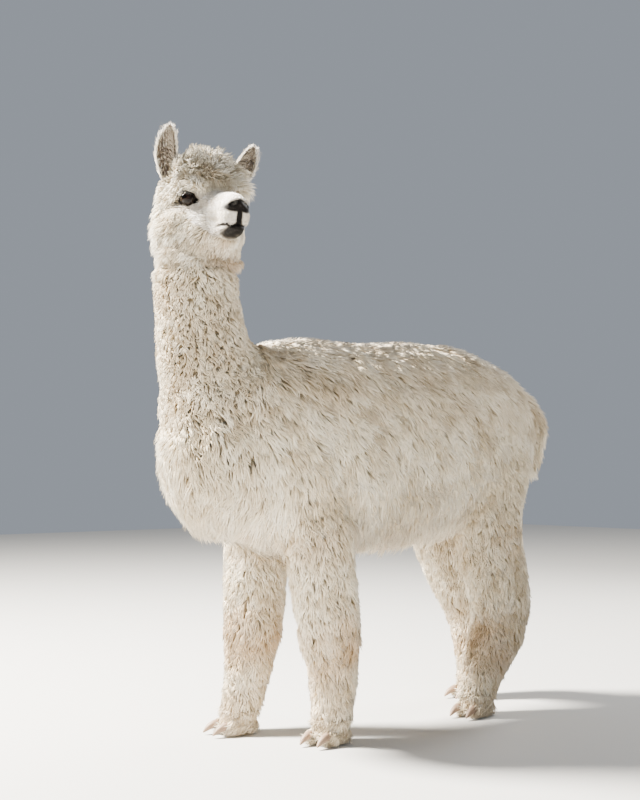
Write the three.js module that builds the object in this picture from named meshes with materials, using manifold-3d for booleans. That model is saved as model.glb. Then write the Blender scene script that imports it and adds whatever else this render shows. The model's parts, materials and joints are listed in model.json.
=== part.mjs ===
// A standing huacaya alpaca in full fleece, life size, in millimetres.
// Z is up, the animal faces -Y and its left side is +X. It stands on the plane Z = 0.
import * as THREE from "three";
import { mergeVertices } from "three/addons/utils/BufferGeometryUtils.js";
import Module from "manifold-3d";

const wasm = await Module();
wasm.setup();

// ---------------------------------------------------------------------------
// Driving dimensions
// ---------------------------------------------------------------------------

const backHeight = 946; // top of the fleece over the loin
const bellyHeight = 426; // lowest wool between the legs
const trunkLength = 1080; // front of the chest to the rump
const trunkWidth = 440; // across the ribs, over the fleece
const headHeight = 1216; // the eyes above the ground
const neckWidth = 186; // across the wool, halfway up the neck
const stanceWidth = 224; // between the middles of the forefeet
const eyeDiameter = 36;
const eyeSpacing = 122; // between the middles of the eyeballs
const earLength = 140;
const toeLength = 72;
const toeWidth = 37;
const partingGap = 0.4; // clearance between neighbouring pieces
const headTurn = 86; // degrees that the head is turned to its left
const headRaise = 4; // degrees that the muzzle points above the level

// ---------------------------------------------------------------------------
// Solids
// ---------------------------------------------------------------------------

const acrossBody = new THREE.Vector3(1, 0, 0);
const vector = ([x, y, z]) => new THREE.Vector3(x, y, z);

// A closed surface through rings of equal size, with a pole in the middle of each end ring.
function skinOver(rings, startPole, endPole) {
  const sides = rings[0].length;
  const points = [startPole, ...rings.flat(), endPole];
  const last = points.length - 1;
  const at = (ring, side) => 1 + ring * sides + (side % sides);
  const faces = [];
  for (let side = 0; side < sides; side++) {
    faces.push(0, at(0, side + 1), at(0, side));
    faces.push(last, at(rings.length - 1, side), at(rings.length - 1, side + 1));
    for (let ring = 0; ring < rings.length - 1; ring++) {
      const [a, b] = [at(ring, side), at(ring, side + 1)];
      const [c, d] = [at(ring + 1, side), at(ring + 1, side + 1)];
      faces.push(a, b, c, b, d, c);
    }
  }
  return new THREE.BufferGeometry().setFromPoints(points).setIndex(faces);
}

// The solid inside a closed surface, whichever way its faces were wound.
function solidOf(geometry) {
  const plain = geometry.index ? geometry.toNonIndexed() : geometry.clone();
  const bare = new THREE.BufferGeometry().setAttribute("position", plain.getAttribute("position"));
  const merged = mergeVertices(bare, 1e-3);
  const triVerts = new Uint32Array(merged.index.array);
  const mesh = { numProp: 3, vertProperties: merged.attributes.position.array, triVerts };
  const solid = new wasm.Manifold(new wasm.Mesh(mesh));
  if (solid.volume() > 0) return solid;
  for (let i = 0; i < triVerts.length; i += 3) {
    [triVerts[i + 1], triVerts[i + 2]] = [triVerts[i + 2], triVerts[i + 1]];
  }
  return new wasm.Manifold(new wasm.Mesh(mesh));
}

function geometryOf(solid) {
  const { vertProperties, triVerts } = solid.getMesh();
  return new THREE.BufferGeometry()
    .setAttribute("position", new THREE.BufferAttribute(new Float32Array(vertProperties), 3))
    .setIndex(new THREE.BufferAttribute(new Uint32Array(triVerts), 1));
}

// A number raised to a power with its sign kept, which squares off an ellipse.
const signedPower = (value, power) => Math.sign(value) * Math.abs(value) ** power;

// A limb drawn through oval rings along a curve. A station has its middle (at), its half width (wide)
// and its half depths on the two sides of the curve (ahead and behind). On a curve that runs up the
// body, ahead is the front of the animal; on one that runs down, it is the back; on one that runs
// from chest to rump, it is the top. squareness is 2 for an ellipse and more for a boxier section.
function limb({ stations, rings, sides, squareness = 2, grow = 0, ...domes }) {
  const { startDome = 0, endDome = 0, domeRings = 3 } = domes;
  const path = new THREE.CatmullRomCurve3(stations.map((s) => vector(s.at)));
  const sizes = new THREE.CatmullRomCurve3(stations.map((s) => vector([s.wide, s.ahead, s.behind])));
  const power = 2 / squareness;
  const ringAt = (t, offset, scale) => {
    const tangent = path.getTangent(t);
    const middle = path.getPoint(t).addScaledVector(tangent, offset);
    const size = sizes.getPoint(t).addScalar(grow).multiplyScalar(scale);
    const wide = acrossBody.clone().addScaledVector(tangent, -acrossBody.dot(tangent)).normalize();
    const deep = wide.clone().cross(tangent);
    return Array.from({ length: sides }, (_, side) => {
      const angle = (2 * Math.PI * side) / sides;
      const reach = signedPower(Math.sin(angle), power);
      return middle
        .clone()
        .addScaledVector(wide, size.x * signedPower(Math.cos(angle), power))
        .addScaledVector(deep, reach * (reach > 0 ? size.y : size.z));
    });
  };
  const dome = (t, depth, outward) =>
    Array.from({ length: domeRings }, (_, i) => {
      const angle = (Math.PI / 2) * ((domeRings - i) / (domeRings + 1));
      return ringAt(t, outward * (depth + grow) * Math.sin(angle), Math.cos(angle));
    });
  const body = Array.from({ length: rings + 1 }, (_, i) => ringAt(i / rings, 0, 1));
  const front = startDome ? dome(0, startDome, -1) : [];
  const back = endDome ? dome(1, endDome, 1).reverse() : [];
  const poleAt = (t, offset) => path.getPoint(t).addScaledVector(path.getTangent(t), offset);
  const startPole = poleAt(0, startDome ? -startDome - grow : 0);
  const endPole = poleAt(1, endDome ? endDome + grow : 0);
  return skinOver([...front, ...body, ...back], startPole, endPole);
}

const limbSolid = (shape, grow = 0) => solidOf(limb({ ...shape, grow }));

// An ellipsoid, from the middle and the three half sizes.
function ellipsoid({ middle, half, sides = 14, turn = [0, 0, 0] }) {
  const place = new THREE.Matrix4().compose(
    vector(middle),
    new THREE.Quaternion().setFromEuler(new THREE.Euler(...turn.map(THREE.MathUtils.degToRad))),
    vector(half),
  );
  return new THREE.SphereGeometry(1, sides, sides / 2).applyMatrix4(place);
}

// All the space below a height, or above one, which is cut away for a flat sole or a straight parting.
const wholeSpace = 4000;
const slab = (middleZ) => {
  const block = new THREE.BoxGeometry(wholeSpace, wholeSpace, wholeSpace);
  return solidOf(block.translate(0, 0, middleZ));
};
const below = (z) => slab(z - wholeSpace / 2);
const above = (z) => slab(z + wholeSpace / 2);

// ---------------------------------------------------------------------------
// Trunk and tail
// ---------------------------------------------------------------------------

const chestFront = -634;
const rumpEnd = chestFront + trunkLength;
const halfTrunk = trunkWidth / 2;

// One ring of the trunk, from where it is along the body, how high and low its wool reaches, and its
// width as a share of the widest part.
function trunkRing({ y, top, bottom, share }) {
  const middle = (top + bottom) / 2;
  return { at: [0, y, middle], wide: halfTrunk * share, ahead: top - middle, behind: middle - bottom };
}

const chestDome = 118;
const rumpDome = 118;
const trunkShape = {
  stations: [
    trunkRing({ y: chestFront + chestDome, top: backHeight - 118, bottom: bellyHeight + 42, share: 0.68 }),
    trunkRing({ y: -410, top: backHeight - 44, bottom: bellyHeight + 10, share: 0.86 }),
    trunkRing({ y: -290, top: backHeight - 12, bottom: bellyHeight, share: 0.96 }),
    trunkRing({ y: -130, top: backHeight - 14, bottom: bellyHeight, share: 1.0 }),
    trunkRing({ y: 30, top: backHeight - 3, bottom: bellyHeight + 10, share: 1.0 }),
    trunkRing({ y: 170, top: backHeight, bottom: bellyHeight + 32, share: 0.98 }),
    trunkRing({ y: 250, top: backHeight - 8, bottom: bellyHeight + 56, share: 0.93 }),
    trunkRing({ y: rumpEnd - rumpDome, top: backHeight - 34, bottom: bellyHeight + 96, share: 0.84 }),
  ],
  rings: 18,
  sides: 24,
  squareness: 2.15,
  startDome: chestDome,
  endDome: rumpDome,
};

const tailShape = {
  stations: [
    { at: [0, rumpEnd - 80, 822], wide: 60, ahead: 46, behind: 46 },
    { at: [6, rumpEnd + 4, 814], wide: 66, ahead: 52, behind: 54 },
    { at: [14, rumpEnd + 62, 762], wide: 68, ahead: 56, behind: 58 },
    { at: [20, rumpEnd + 74, 700], wide: 60, ahead: 50, behind: 54 },
    { at: [24, rumpEnd + 66, 628], wide: 40, ahead: 36, behind: 38 },
  ],
  rings: 8,
  sides: 12,
  endDome: 26,
};

// ---------------------------------------------------------------------------
// Neck
// ---------------------------------------------------------------------------

const halfNeck = neckWidth / 2;
const neckY = -570; // where the upright part of the neck stands
const neckShape = {
  stations: [
    { at: [0, -430, 638], wide: halfNeck + 62, ahead: 152, behind: 176 },
    { at: [0, -478, 748], wide: halfNeck + 46, ahead: 146, behind: 156 },
    { at: [0, neckY + 36, 848], wide: halfNeck + 17, ahead: 112, behind: 114 },
    { at: [0, neckY + 12, 948], wide: halfNeck + 4, ahead: 95, behind: 94 },
    { at: [0, neckY, 1048], wide: halfNeck, ahead: 89, behind: 88 },
    { at: [4, neckY, 1118], wide: halfNeck + 1, ahead: 88, behind: 88 },
  ],
  rings: 11,
  sides: 18,
};

// ---------------------------------------------------------------------------
// Head, in its own frame: the origin is midway between the eyes, and the muzzle points to -Y
// ---------------------------------------------------------------------------

const headPlace = new THREE.Matrix4().compose(
  vector([52, neckY, headHeight]),
  new THREE.Quaternion()
    .setFromAxisAngle(new THREE.Vector3(0, 0, 1), THREE.MathUtils.degToRad(headTurn))
    .multiply(new THREE.Quaternion().setFromAxisAngle(acrossBody, THREE.MathUtils.degToRad(-headRaise))),
  new THREE.Vector3(1, 1, 1),
);

// Both sides of a mass that comes in pairs.
const mirrored = ({ middle: [x, y, z], turn: [tilt, roll, yaw] = [0, 0, 0], ...mass }) =>
  ({ ...mass, middle: [-x, y, z], turn: [tilt, -roll, -yaw] });
const pair = (mass) => [mass, mirrored(mass)];

// The rounded masses that the woolly part of the head is blended from, and those of the muzzle.
const skullMasses = [
  { middle: [0, 46, 20], half: [100, 74, 80] }, // braincase and its wool
  { middle: [0, 16, 88], half: [94, 62, 42] }, // wool of the crown
  { middle: [0, 68, -16], half: [98, 70, 100] }, // nape
  ...pair({ middle: [65, 46, -50], half: [52, 66, 66] }), // cheeks
  { middle: [3, 40, -104], half: [102, 90, 46] }, // throat wool
  ...pair({ middle: [40, -8, -64], half: [34, 46, 46] }), // wool over the jaws
  ...pair({ middle: [44, -6, 33], half: [30, 34, 21] }), // brows
];
const muzzleMasses = [
  { middle: [0, -24, -28], half: [48, 62, 48] }, // root of the muzzle
  { middle: [0, -74, -28], half: [33, 50, 34] }, // bridge of the nose
  ...pair({ middle: [16, -102, -50], half: [20, 24, 25] }), // upper lips
  { middle: [0, -110, -28], half: [24, 16, 15] }, // tip of the nose
  { middle: [0, -90, -82], half: [25, 27, 18] }, // chin
  { middle: [0, -34, -80], half: [44, 56, 36] }, // lower jaw
];

// About how far a point is from the surface of an ellipsoid: less than 0 inside it.
function distanceTo({ middle, half }, point) {
  const p = point.clone().sub(vector(middle));
  const scaled = p.clone().divide(vector(half)).length();
  const steep = p.clone().divide(vector(half)).divide(vector(half)).length();
  return steep === 0 ? -Math.min(...half) : (scaled * (scaled - 1)) / steep;
}

const blendWidth = 7; // how softly one mass runs into the next
function blendOf(masses, point) {
  const sum = masses.reduce((total, mass) => total + Math.exp(-distanceTo(mass, point) / blendWidth), 0);
  return -blendWidth * Math.log(sum);
}

// The farthest point along a ray that is inside the blended masses, found by halving steps.
const farthestRay = 190;
function surfaceAlong(masses, start, direction, grow) {
  const outsideAt = (distance) => blendOf(masses, start.clone().addScaledVector(direction, distance)) > grow;
  const step = 4;
  let far = farthestRay;
  while (far > 0 && outsideAt(far)) far -= step;
  let [inside, outside] = [far, far + step];
  for (let i = 0; i < 12; i++) {
    const halfway = (inside + outside) / 2;
    if (outsideAt(halfway)) outside = halfway;
    else inside = halfway;
  }
  return start.clone().addScaledVector(direction, inside);
}

// The skin over a group of masses: rays cast outwards from a line that runs through them.
// spacing says where along the line each ring goes, as it runs from 0 to 1.
function skinOverMasses({ masses, line, ringCount, sides, spacing }, grow = 0) {
  const path = new THREE.CatmullRomCurve3(line.map(vector));
  const rings = Array.from({ length: ringCount }, (_, ring) => {
    const t = spacing((ring + 0.5) / ringCount);
    const tangent = path.getTangentAt(t);
    const across = acrossBody.clone().addScaledVector(tangent, -acrossBody.dot(tangent)).normalize();
    const deep = across.clone().cross(tangent);
    return Array.from({ length: sides }, (_, side) => {
      const angle = (2 * Math.PI * side) / sides;
      const direction = across.clone().multiplyScalar(Math.cos(angle)).addScaledVector(deep, Math.sin(angle));
      return surfaceAlong(masses, path.getPointAt(t), direction, grow);
    });
  });
  const poleAt = (t, sign) =>
    surfaceAlong(masses, path.getPoint(t), path.getTangent(t).multiplyScalar(sign), grow);
  return skinOver(rings, poleAt(0, -1), poleAt(1, 1)).applyMatrix4(headPlace);
}

const skullShape = {
  masses: skullMasses,
  line: [[0, 28, 124], [0, 34, 60], [0, 40, -40], [0, 38, -148]],
  ringCount: 14,
  sides: 26,
  spacing: (share) => (1 - Math.cos(Math.PI * share)) / 2, // closer together at both ends
};
const muzzleShape = {
  masses: muzzleMasses,
  line: [[0, -124, -46], [0, -92, -52], [0, -40, -48], [0, 10, -44]],
  ringCount: 13,
  sides: 22,
  spacing: (share) => share * (0.6 + 0.4 * share), // closer together at the lips
};
const headSolid = (grow = 0) =>
  [skullShape, muzzleShape].map((shape) => solidOf(skinOverMasses(shape, grow))).reduce((a, b) => a.add(b));

const halfEye = eyeDiameter / 2;
const eyeballs = pair({ middle: [eyeSpacing / 2, -12, 0], half: [halfEye, halfEye, halfEye] });
const eyeAt = (index, grow = 0) => {
  const half = eyeballs[index].half.map((size) => size + grow);
  return ellipsoid({ ...eyeballs[index], half }).applyMatrix4(headPlace);
};

// The slanting slits of the nostrils, and the line of the closed mouth.
const nostrils = pair({ middle: [13, -125, -30], half: [10, 10, 3.6], turn: [0, -26, 0], sides: 8 });
const mouth = { middle: [0, -102, -76], half: [34, 34, 2.4], sides: 10 };

// ---------------------------------------------------------------------------
// Ears
// ---------------------------------------------------------------------------

const earWidth = 25; // half the widest part of an ear
const earCup = 17; // how deep the ear is cupped
const earWall = 6; // thickness of the ear with its short hair
const earSpacing = 156; // between the roots of the ears
const earRoot = [44, 42]; // how far behind the eyes and above them an ear is rooted

// A cupped, pointed ear on the left (side 1) or right (side -1) of the head, in the head's frame.
// lean tips it outwards and back draws it rearwards; facing turns its hollow from the front to the side.
function ear({ side, lean, back, facing }) {
  const ring = (height, widthShare, curve) => {
    const cup = earCup * widthShare;
    const hollow = cup - earWall * (0.35 + 0.65 * widthShare);
    const at = [-side * curve, 0, height * earLength];
    return { at, wide: earWidth * widthShare, ahead: -hollow, behind: cup };
  };
  const shape = {
    stations: [
      ring(0, 0.6, 4),
      ring(0.2, 0.86, 1),
      ring(0.46, 1, -2),
      ring(0.7, 0.9, -1),
      ring(0.88, 0.58, 3),
      ring(0.99, 0.2, 7),
    ],
    rings: 8,
    sides: 12,
  };
  return limb(shape)
    .rotateZ(THREE.MathUtils.degToRad(side * facing))
    .rotateX(THREE.MathUtils.degToRad(-back))
    .rotateY(THREE.MathUtils.degToRad(side * lean))
    .translate((side * earSpacing) / 2, ...earRoot)
    .applyMatrix4(headPlace);
}

// ---------------------------------------------------------------------------
// Legs and feet
// ---------------------------------------------------------------------------

const halfStance = stanceWidth / 2;

// A foreleg hangs from the shoulder; step is how far the foot is set forward of it.
function foreleg({ side, shoulderY, step }) {
  const x = (out) => side * (halfStance + out);
  const y = (share, back = 0) => shoulderY - step * share + back;
  return {
    stations: [
      { at: [x(-6), y(0), 640], wide: 70, ahead: 92, behind: 92 },
      { at: [x(2), y(0), 520], wide: 82, ahead: 90, behind: 90 },
      { at: [x(5), y(0.05), 430], wide: 81, ahead: 84, behind: 84 },
      { at: [x(5), y(0.25, 6), 330], wide: 78, ahead: 80, behind: 78 },
      { at: [x(4), y(0.45, 10), 250], wide: 76, ahead: 78, behind: 74 },
      { at: [x(2), y(0.7, 10), 170], wide: 63, ahead: 66, behind: 58 },
      { at: [x(0), y(0.88, 4), 105], wide: 54, ahead: 56, behind: 50 },
      { at: [x(0), y(0.98, 0), 50], wide: 47, ahead: 47, behind: 46 },
    ],
    rings: 10,
    sides: 12,
  };
}

// A hind leg bends at the stifle and the hock; the foot can be set ahead of the hip or behind it.
// flex says how far the stifle is drawn up and forward.
function hindleg({ side, footX, hipY, footY, flex }) {
  const x = (out) => side * (footX + out);
  const y = (share, back) => hipY + (footY - hipY) * share + back * (back < 0 ? flex : 1);
  return {
    stations: [
      { at: [x(12), y(0, -14), 750], wide: 80, ahead: 96, behind: 108 },
      { at: [x(24), y(0.05, -32), 640], wide: 92, ahead: 104, behind: 120 },
      { at: [x(30), y(0.15, -58), 530], wide: 92, ahead: 92, behind: 106 },
      { at: [x(28), y(0.4, -28), 420], wide: 86, ahead: 90, behind: 94 },
      { at: [x(24), y(0.55, 16), 320], wide: 80, ahead: 88, behind: 88 },
      { at: [x(19), y(0.7, 40), 240], wide: 74, ahead: 80, behind: 78 },
      { at: [x(10), y(0.88, 24), 160], wide: 64, ahead: 70, behind: 66 },
      { at: [x(3), y(0.97, 8), 100], wide: 54, ahead: 56, behind: 52 },
      { at: [x(0), y(1, 0), 50], wide: 46, ahead: 46, behind: 48 },
    ],
    rings: 12,
    sides: 12,
  };
}

const pasternTop = 62;
const heelBack = 34; // how far the heel lies behind the middle of the foot
const toeSpread = 21; // half the distance between the two toes

// A foot is a pastern that spreads into two toes; it points along the way the leg is set.
function foot({ x, y, turn }) {
  const place = new THREE.Matrix4().makeRotationZ(THREE.MathUtils.degToRad(turn)).setPosition(x, y, 0);
  const pastern = limb({
    stations: [
      { at: [0, 2, pasternTop + 12], wide: 49, ahead: 51, behind: 49 },
      { at: [0, -6, 40], wide: 44, ahead: 44, behind: 46 },
      { at: [0, -12, 20], wide: 38, ahead: 38, behind: 40 },
    ],
    rings: 2,
    sides: 12,
    endDome: 14,
    domeRings: 1,
  });
  const toe = (side) =>
    limb({
      stations: [
        { at: [side * (toeSpread - 5), heelBack, 20], wide: toeWidth * 0.5, ahead: 22, behind: 24 },
        { at: [side * toeSpread, 0, 23], wide: toeWidth * 0.56, ahead: 25, behind: 26 },
        { at: [side * (toeSpread + 3), -toeLength * 0.62, 19], wide: toeWidth * 0.52, ahead: 20, behind: 22 },
      ],
      rings: 3,
      sides: 8,
      endDome: 16,
      domeRings: 2,
    });
  return [pastern, toe(1), toe(-1)]
    .map((shape) => solidOf(shape.applyMatrix4(place)))
    .reduce((joined, piece) => joined.add(piece))
    .subtract(below(0))
    .subtract(above(pasternTop - partingGap));
}

// A toenail: a short curved claw that caps the tip of one toe.
function nail({ x, y, turn, side, grow = 0 }) {
  const place = new THREE.Matrix4().makeRotationZ(THREE.MathUtils.degToRad(turn)).setPosition(x, y, 0);
  const out = side * (toeSpread + 3.5);
  return limb({
    stations: [
      { at: [out, -toeLength * 0.62, 25], wide: 11, ahead: 9, behind: 12 },
      { at: [out, -toeLength * 0.86, 21], wide: 10.5, ahead: 8, behind: 11 },
      { at: [out, -toeLength * 1.04, 14.5], wide: 7.5, ahead: 6, behind: 8 },
      { at: [out, -toeLength * 1.16, 8], wide: 3, ahead: 2.4, behind: 3 },
    ],
    rings: 3,
    sides: 7,
    endDome: 3,
    domeRings: 1,
    grow,
  }).applyMatrix4(place);
}

// ---------------------------------------------------------------------------
// Materials
// ---------------------------------------------------------------------------

const finish = (color, roughness) => new THREE.MeshStandardMaterial({ color, roughness, metalness: 0 });
const fleece = finish("#d9cfbc", 0.95);
const shortHair = finish("#e9e2d4", 0.85);
const earHair = finish("#ddd2bf", 0.9);
const eyeball = finish("#0d0a09", 0.08);
const horn = finish("#c9a88c", 0.45);

// ---------------------------------------------------------------------------
// Assembly
// ---------------------------------------------------------------------------

const alpaca = new THREE.Group();
function addPiece(name, solid, material) {
  const mesh = new THREE.Mesh(solid instanceof THREE.BufferGeometry ? solid : geometryOf(solid), material);
  mesh.name = name;
  alpaca.add(mesh);
}

const trunk = limbSolid(trunkShape);
const trunkSpace = limbSolid(trunkShape, partingGap);
const headSpace = headSolid(partingGap);
addPiece("trunk", trunk, fleece);
addPiece("neck", limbSolid(neckShape).subtract(trunkSpace).subtract(headSpace), fleece);
addPiece("tail", limbSolid(tailShape).subtract(trunkSpace), fleece);

const carved = [...nostrils, mouth].map((cut) => solidOf(ellipsoid(cut).applyMatrix4(headPlace)));
const sockets = [0, 1].map((index) => solidOf(eyeAt(index, partingGap)));
const head = [...carved, ...sockets].reduce((left, cut) => left.subtract(cut), headSolid());
addPiece("head", head, shortHair);
const ears = [
  { name: "left", index: 0, side: 1, lean: 29, back: -9, facing: -4 },
  { name: "right", index: 1, side: -1, lean: 6, back: -9, facing: 30 },
];
ears.forEach(({ name, index, ...set }) => {
  addPiece(`eye_${name}`, eyeAt(index), eyeball);
  addPiece(`ear_${name}`, solidOf(ear(set)).subtract(headSpace), earHair);
});

// The right foreleg is set a little forward, and the hind legs are parted as in a slow step.
const shoulderY = -305;
const hipY = 322;
const legs = [
  { name: "foreleg_left", shape: foreleg({ side: 1, shoulderY, step: -42 }), turn: 12 },
  { name: "foreleg_right", shape: foreleg({ side: -1, shoulderY, step: 55 }), turn: -8 },
  { name: "hindleg_left", shape: hindleg({ side: 1, footX: 95, hipY, footY: 240, flex: 1 }), turn: 8 },
  { name: "hindleg_right", shape: hindleg({ side: -1, footX: 90, hipY, footY: 425, flex: 0.6 }), turn: -8 },
];
legs.forEach(({ name, shape, turn }) => {
  const { at } = shape.stations.at(-1);
  const [x, y] = at;
  addPiece(name, limbSolid(shape).subtract(trunkSpace).subtract(below(pasternTop)), fleece);
  const nails = [1, -1].map((side) => ({ x, y, turn, side }));
  const nailSpace = nails.map((claw) => solidOf(nail({ ...claw, grow: partingGap })));
  const pad = nailSpace.reduce((left, cut) => left.subtract(cut), foot({ x, y, turn }));
  const footName = name.replace("leg", "foot");
  addPiece(footName, pad, shortHair);
  nails.forEach((claw) => {
    const which = claw.side * Math.sign(x) > 0 ? "outer" : "inner";
    addPiece(`${footName}_nail_${which}`, solidOf(nail(claw)), horn);
  });
});

// The origin is on the ground, in the middle of the animal's outline.
const outline = new THREE.Box3().setFromObject(alpaca);
const middle = outline.getCenter(new THREE.Vector3());
alpaca.position.set(-middle.x, -middle.y, 0);

export default alpaca;
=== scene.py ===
# %% [markdown]
# # A standing alpaca in full fleece
#
# An alpaca is a small camelid kept for its wool. A huacaya's fleece grows in dense crimped locks that
# stand out from the skin and droop, so its outline is the outline of the wool and not of the body.
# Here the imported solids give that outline. One smooth skin is laid inside them, by the depth of the
# coat, and the coat is built over it lock by lock, as solid mesh.

# %% Frame and measuring box
import json
import math
import time

import bmesh
import bpy
import numpy as np
import openvdb as vdb
from mathutils import Matrix, Vector
from mathutils.kdtree import KDTree

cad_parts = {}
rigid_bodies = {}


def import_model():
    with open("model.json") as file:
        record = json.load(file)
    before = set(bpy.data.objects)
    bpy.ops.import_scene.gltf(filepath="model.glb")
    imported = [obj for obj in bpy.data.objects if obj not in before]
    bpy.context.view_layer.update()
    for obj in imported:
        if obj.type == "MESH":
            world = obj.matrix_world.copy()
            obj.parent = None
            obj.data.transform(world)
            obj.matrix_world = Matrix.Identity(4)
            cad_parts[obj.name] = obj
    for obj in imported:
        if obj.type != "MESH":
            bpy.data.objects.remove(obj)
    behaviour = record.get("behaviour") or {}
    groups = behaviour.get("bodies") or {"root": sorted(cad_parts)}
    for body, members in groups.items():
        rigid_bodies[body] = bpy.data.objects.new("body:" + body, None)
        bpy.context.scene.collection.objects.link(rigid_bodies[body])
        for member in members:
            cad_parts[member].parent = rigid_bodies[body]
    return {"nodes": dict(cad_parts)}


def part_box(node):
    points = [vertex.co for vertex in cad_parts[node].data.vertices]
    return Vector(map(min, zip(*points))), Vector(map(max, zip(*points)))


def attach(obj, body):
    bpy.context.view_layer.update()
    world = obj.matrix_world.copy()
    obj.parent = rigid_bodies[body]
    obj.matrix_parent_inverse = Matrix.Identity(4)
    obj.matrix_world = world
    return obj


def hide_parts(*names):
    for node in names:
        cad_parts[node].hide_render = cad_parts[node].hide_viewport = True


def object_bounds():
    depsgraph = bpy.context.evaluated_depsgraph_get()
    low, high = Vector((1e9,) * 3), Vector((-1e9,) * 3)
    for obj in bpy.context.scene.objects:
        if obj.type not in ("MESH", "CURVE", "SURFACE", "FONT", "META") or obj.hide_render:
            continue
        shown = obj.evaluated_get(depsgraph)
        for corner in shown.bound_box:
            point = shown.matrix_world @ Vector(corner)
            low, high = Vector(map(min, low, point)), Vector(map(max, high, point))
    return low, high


started = time.time()


def seconds():
    """How long the script has run."""
    return round(time.time() - started, 1)


for item in list(bpy.data.objects):
    bpy.data.objects.remove(item)
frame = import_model()
cad_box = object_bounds()
nodes = frame["nodes"]
MM = 0.001  # lengths below are in millimetres, and meshes are made in metres
print("solids:", len(nodes), "box:", cad_box)

# %% [markdown]
# ## Camera
#
# A camera is an object with a lens. A standing animal is best seen from its own chest height with a
# moderately long lens, which keeps the head and the rump in proportion. The camera stands in front
# and to the animal's left, and is tipped up by 3 degrees.

# %% Camera
SENSOR = 36.0
FOCAL_SHARE = 2.03125  # focal length in picture widths
CAMERA_PLACE = (2.403, -2.165, 0.628)  # metres
CAMERA_TILT, CAMERA_TURN = 93, 50  # degrees up from looking straight down, and round from facing +Y
camera_data = bpy.data.cameras.new("camera")
camera_data.sensor_fit = "HORIZONTAL"
camera_data.sensor_width = SENSOR
camera_data.lens = SENSOR * FOCAL_SHARE
camera_data.clip_end = 100
camera = bpy.data.objects.new("camera", camera_data)
camera.location = CAMERA_PLACE
camera.rotation_euler = (math.radians(CAMERA_TILT), 0, math.radians(CAMERA_TURN))
bpy.context.scene.collection.objects.link(camera)
bpy.context.scene.camera = camera
print("camera:", CAMERA_PLACE, "lens", camera_data.lens, "mm")

# %% [markdown]
# ## Helpers
#
# Meshes with hundreds of thousands of faces are made from arrays, because adding faces one at a time
# would take minutes. Work that Blender's own mesh tools do better, such as halving edges, goes through
# its editing form, bmesh. Smooth steps and blends shape everything that has no hard edge.

# %% Arrays to meshes
def mesh_from(name, points, faces, smooth=True):
    """A mesh object from points in millimetres and one or more arrays of faces of equal length."""
    groups = [np.asarray(group) for group in faces if len(group)]
    mesh = bpy.data.meshes.new(name)
    mesh.vertices.add(len(points))
    mesh.vertices.foreach_set("co", (np.asarray(points, float) * MM).ravel())
    corners = np.concatenate([group.ravel() for group in groups])
    sizes = np.concatenate([np.full(len(group), group.shape[1]) for group in groups])
    mesh.loops.add(len(corners))
    mesh.loops.foreach_set("vertex_index", corners.astype(np.int32))
    mesh.polygons.add(len(sizes))
    starts = np.concatenate([[0], np.cumsum(sizes)[:-1]])
    mesh.polygons.foreach_set("loop_start", starts.astype(np.int32))
    mesh.polygons.foreach_set("use_smooth", np.full(len(sizes), smooth))
    mesh.update(calc_edges=True)
    item = bpy.data.objects.new(name, mesh)
    bpy.context.scene.collection.objects.link(item)
    return item


def points_of(item):
    """The vertices of an object, in millimetres."""
    points = np.empty(len(item.data.vertices) * 3, np.float32)
    item.data.vertices.foreach_get("co", points)
    return points.reshape(-1, 3).astype(float) / MM


def triangles_of(item):
    """The faces of an object as triangles, each as three vertex numbers."""
    item.data.calc_loop_triangles()
    corners = np.empty(len(item.data.loop_triangles) * 3, np.int32)
    item.data.loop_triangles.foreach_get("vertices", corners)
    return corners.reshape(-1, 3)


def move(item, points):
    """Puts the vertices of an object at points in millimetres."""
    item.data.vertices.foreach_set("co", (points * MM).ravel())
    item.data.update()


def shade_smooth(item):
    item.data.polygons.foreach_set("use_smooth", np.full(len(item.data.polygons), True))


def edit(item, change):
    """Makes a change to an object's mesh in its editing form."""
    work = bmesh.new()
    work.from_mesh(item.data)
    change(work)
    work.to_mesh(item.data)
    work.free()


def outward_faces(item):
    edit(item, lambda work: bmesh.ops.recalc_face_normals(work, faces=work.faces))


def baked(item):
    """The mesh of an object with its modifiers applied, which takes the place of its own."""
    graph = bpy.context.evaluated_depsgraph_get()
    mesh = bpy.data.meshes.new_from_object(item.evaluated_get(graph))
    item.modifiers.clear()
    old, item.data = item.data, mesh
    bpy.data.meshes.remove(old)
    mesh.name = item.name


def store(item, name, values, kind="FLOAT"):
    """Keeps a number or a vector for each vertex, for the materials to read."""
    layer = item.data.attributes.new(name, kind, "POINT")
    field = {"FLOAT": "value", "FLOAT_VECTOR": "vector"}[kind]
    layer.data.foreach_set(field, np.asarray(values, np.float32).ravel())


print("the trunk's solid has", len(triangles_of(nodes["trunk"])), "triangles")


# %% Smooth steps and blends
def step(value, start, end):
    """0 before start, 1 after end, and smooth in between; start may be the larger."""
    share = np.clip((value - start) / (end - start), 0, 1)
    return share * share * (3 - 2 * share)


def soft_least(a, b, softness):
    """The smaller of two distances, rounded where they are close: it joins two shapes."""
    share = np.clip(0.5 + 0.5 * (b - a) / softness, 0, 1)
    return b + (a - b) * share - softness * share * (1 - share)


def soft_most(a, b, softness):
    """The larger of two distances, rounded where they are close: it cuts one shape with another."""
    return -soft_least(-a, -b, softness)


def unit(vectors):
    return vectors / np.maximum(np.linalg.norm(vectors, axis=-1, keepdims=True), 1e-9)


def bump(value, middle, width):
    """1 at the middle, falling softly to 0 on both sides."""
    return np.exp(-(((value - middle) / width) ** 2))


def noise_at(points, scale, seed):
    """Soft cloudy numbers from -1 to 1 that skin and coat read alike."""
    rng = np.random.default_rng(seed)
    total = np.zeros(len(points))
    for _ in range(7):
        wave = rng.normal(size=3) / scale
        total += np.sin(points @ wave * 2.2 + rng.random() * 6.28)
    return np.clip(total / 3.2, -1, 1)


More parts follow.
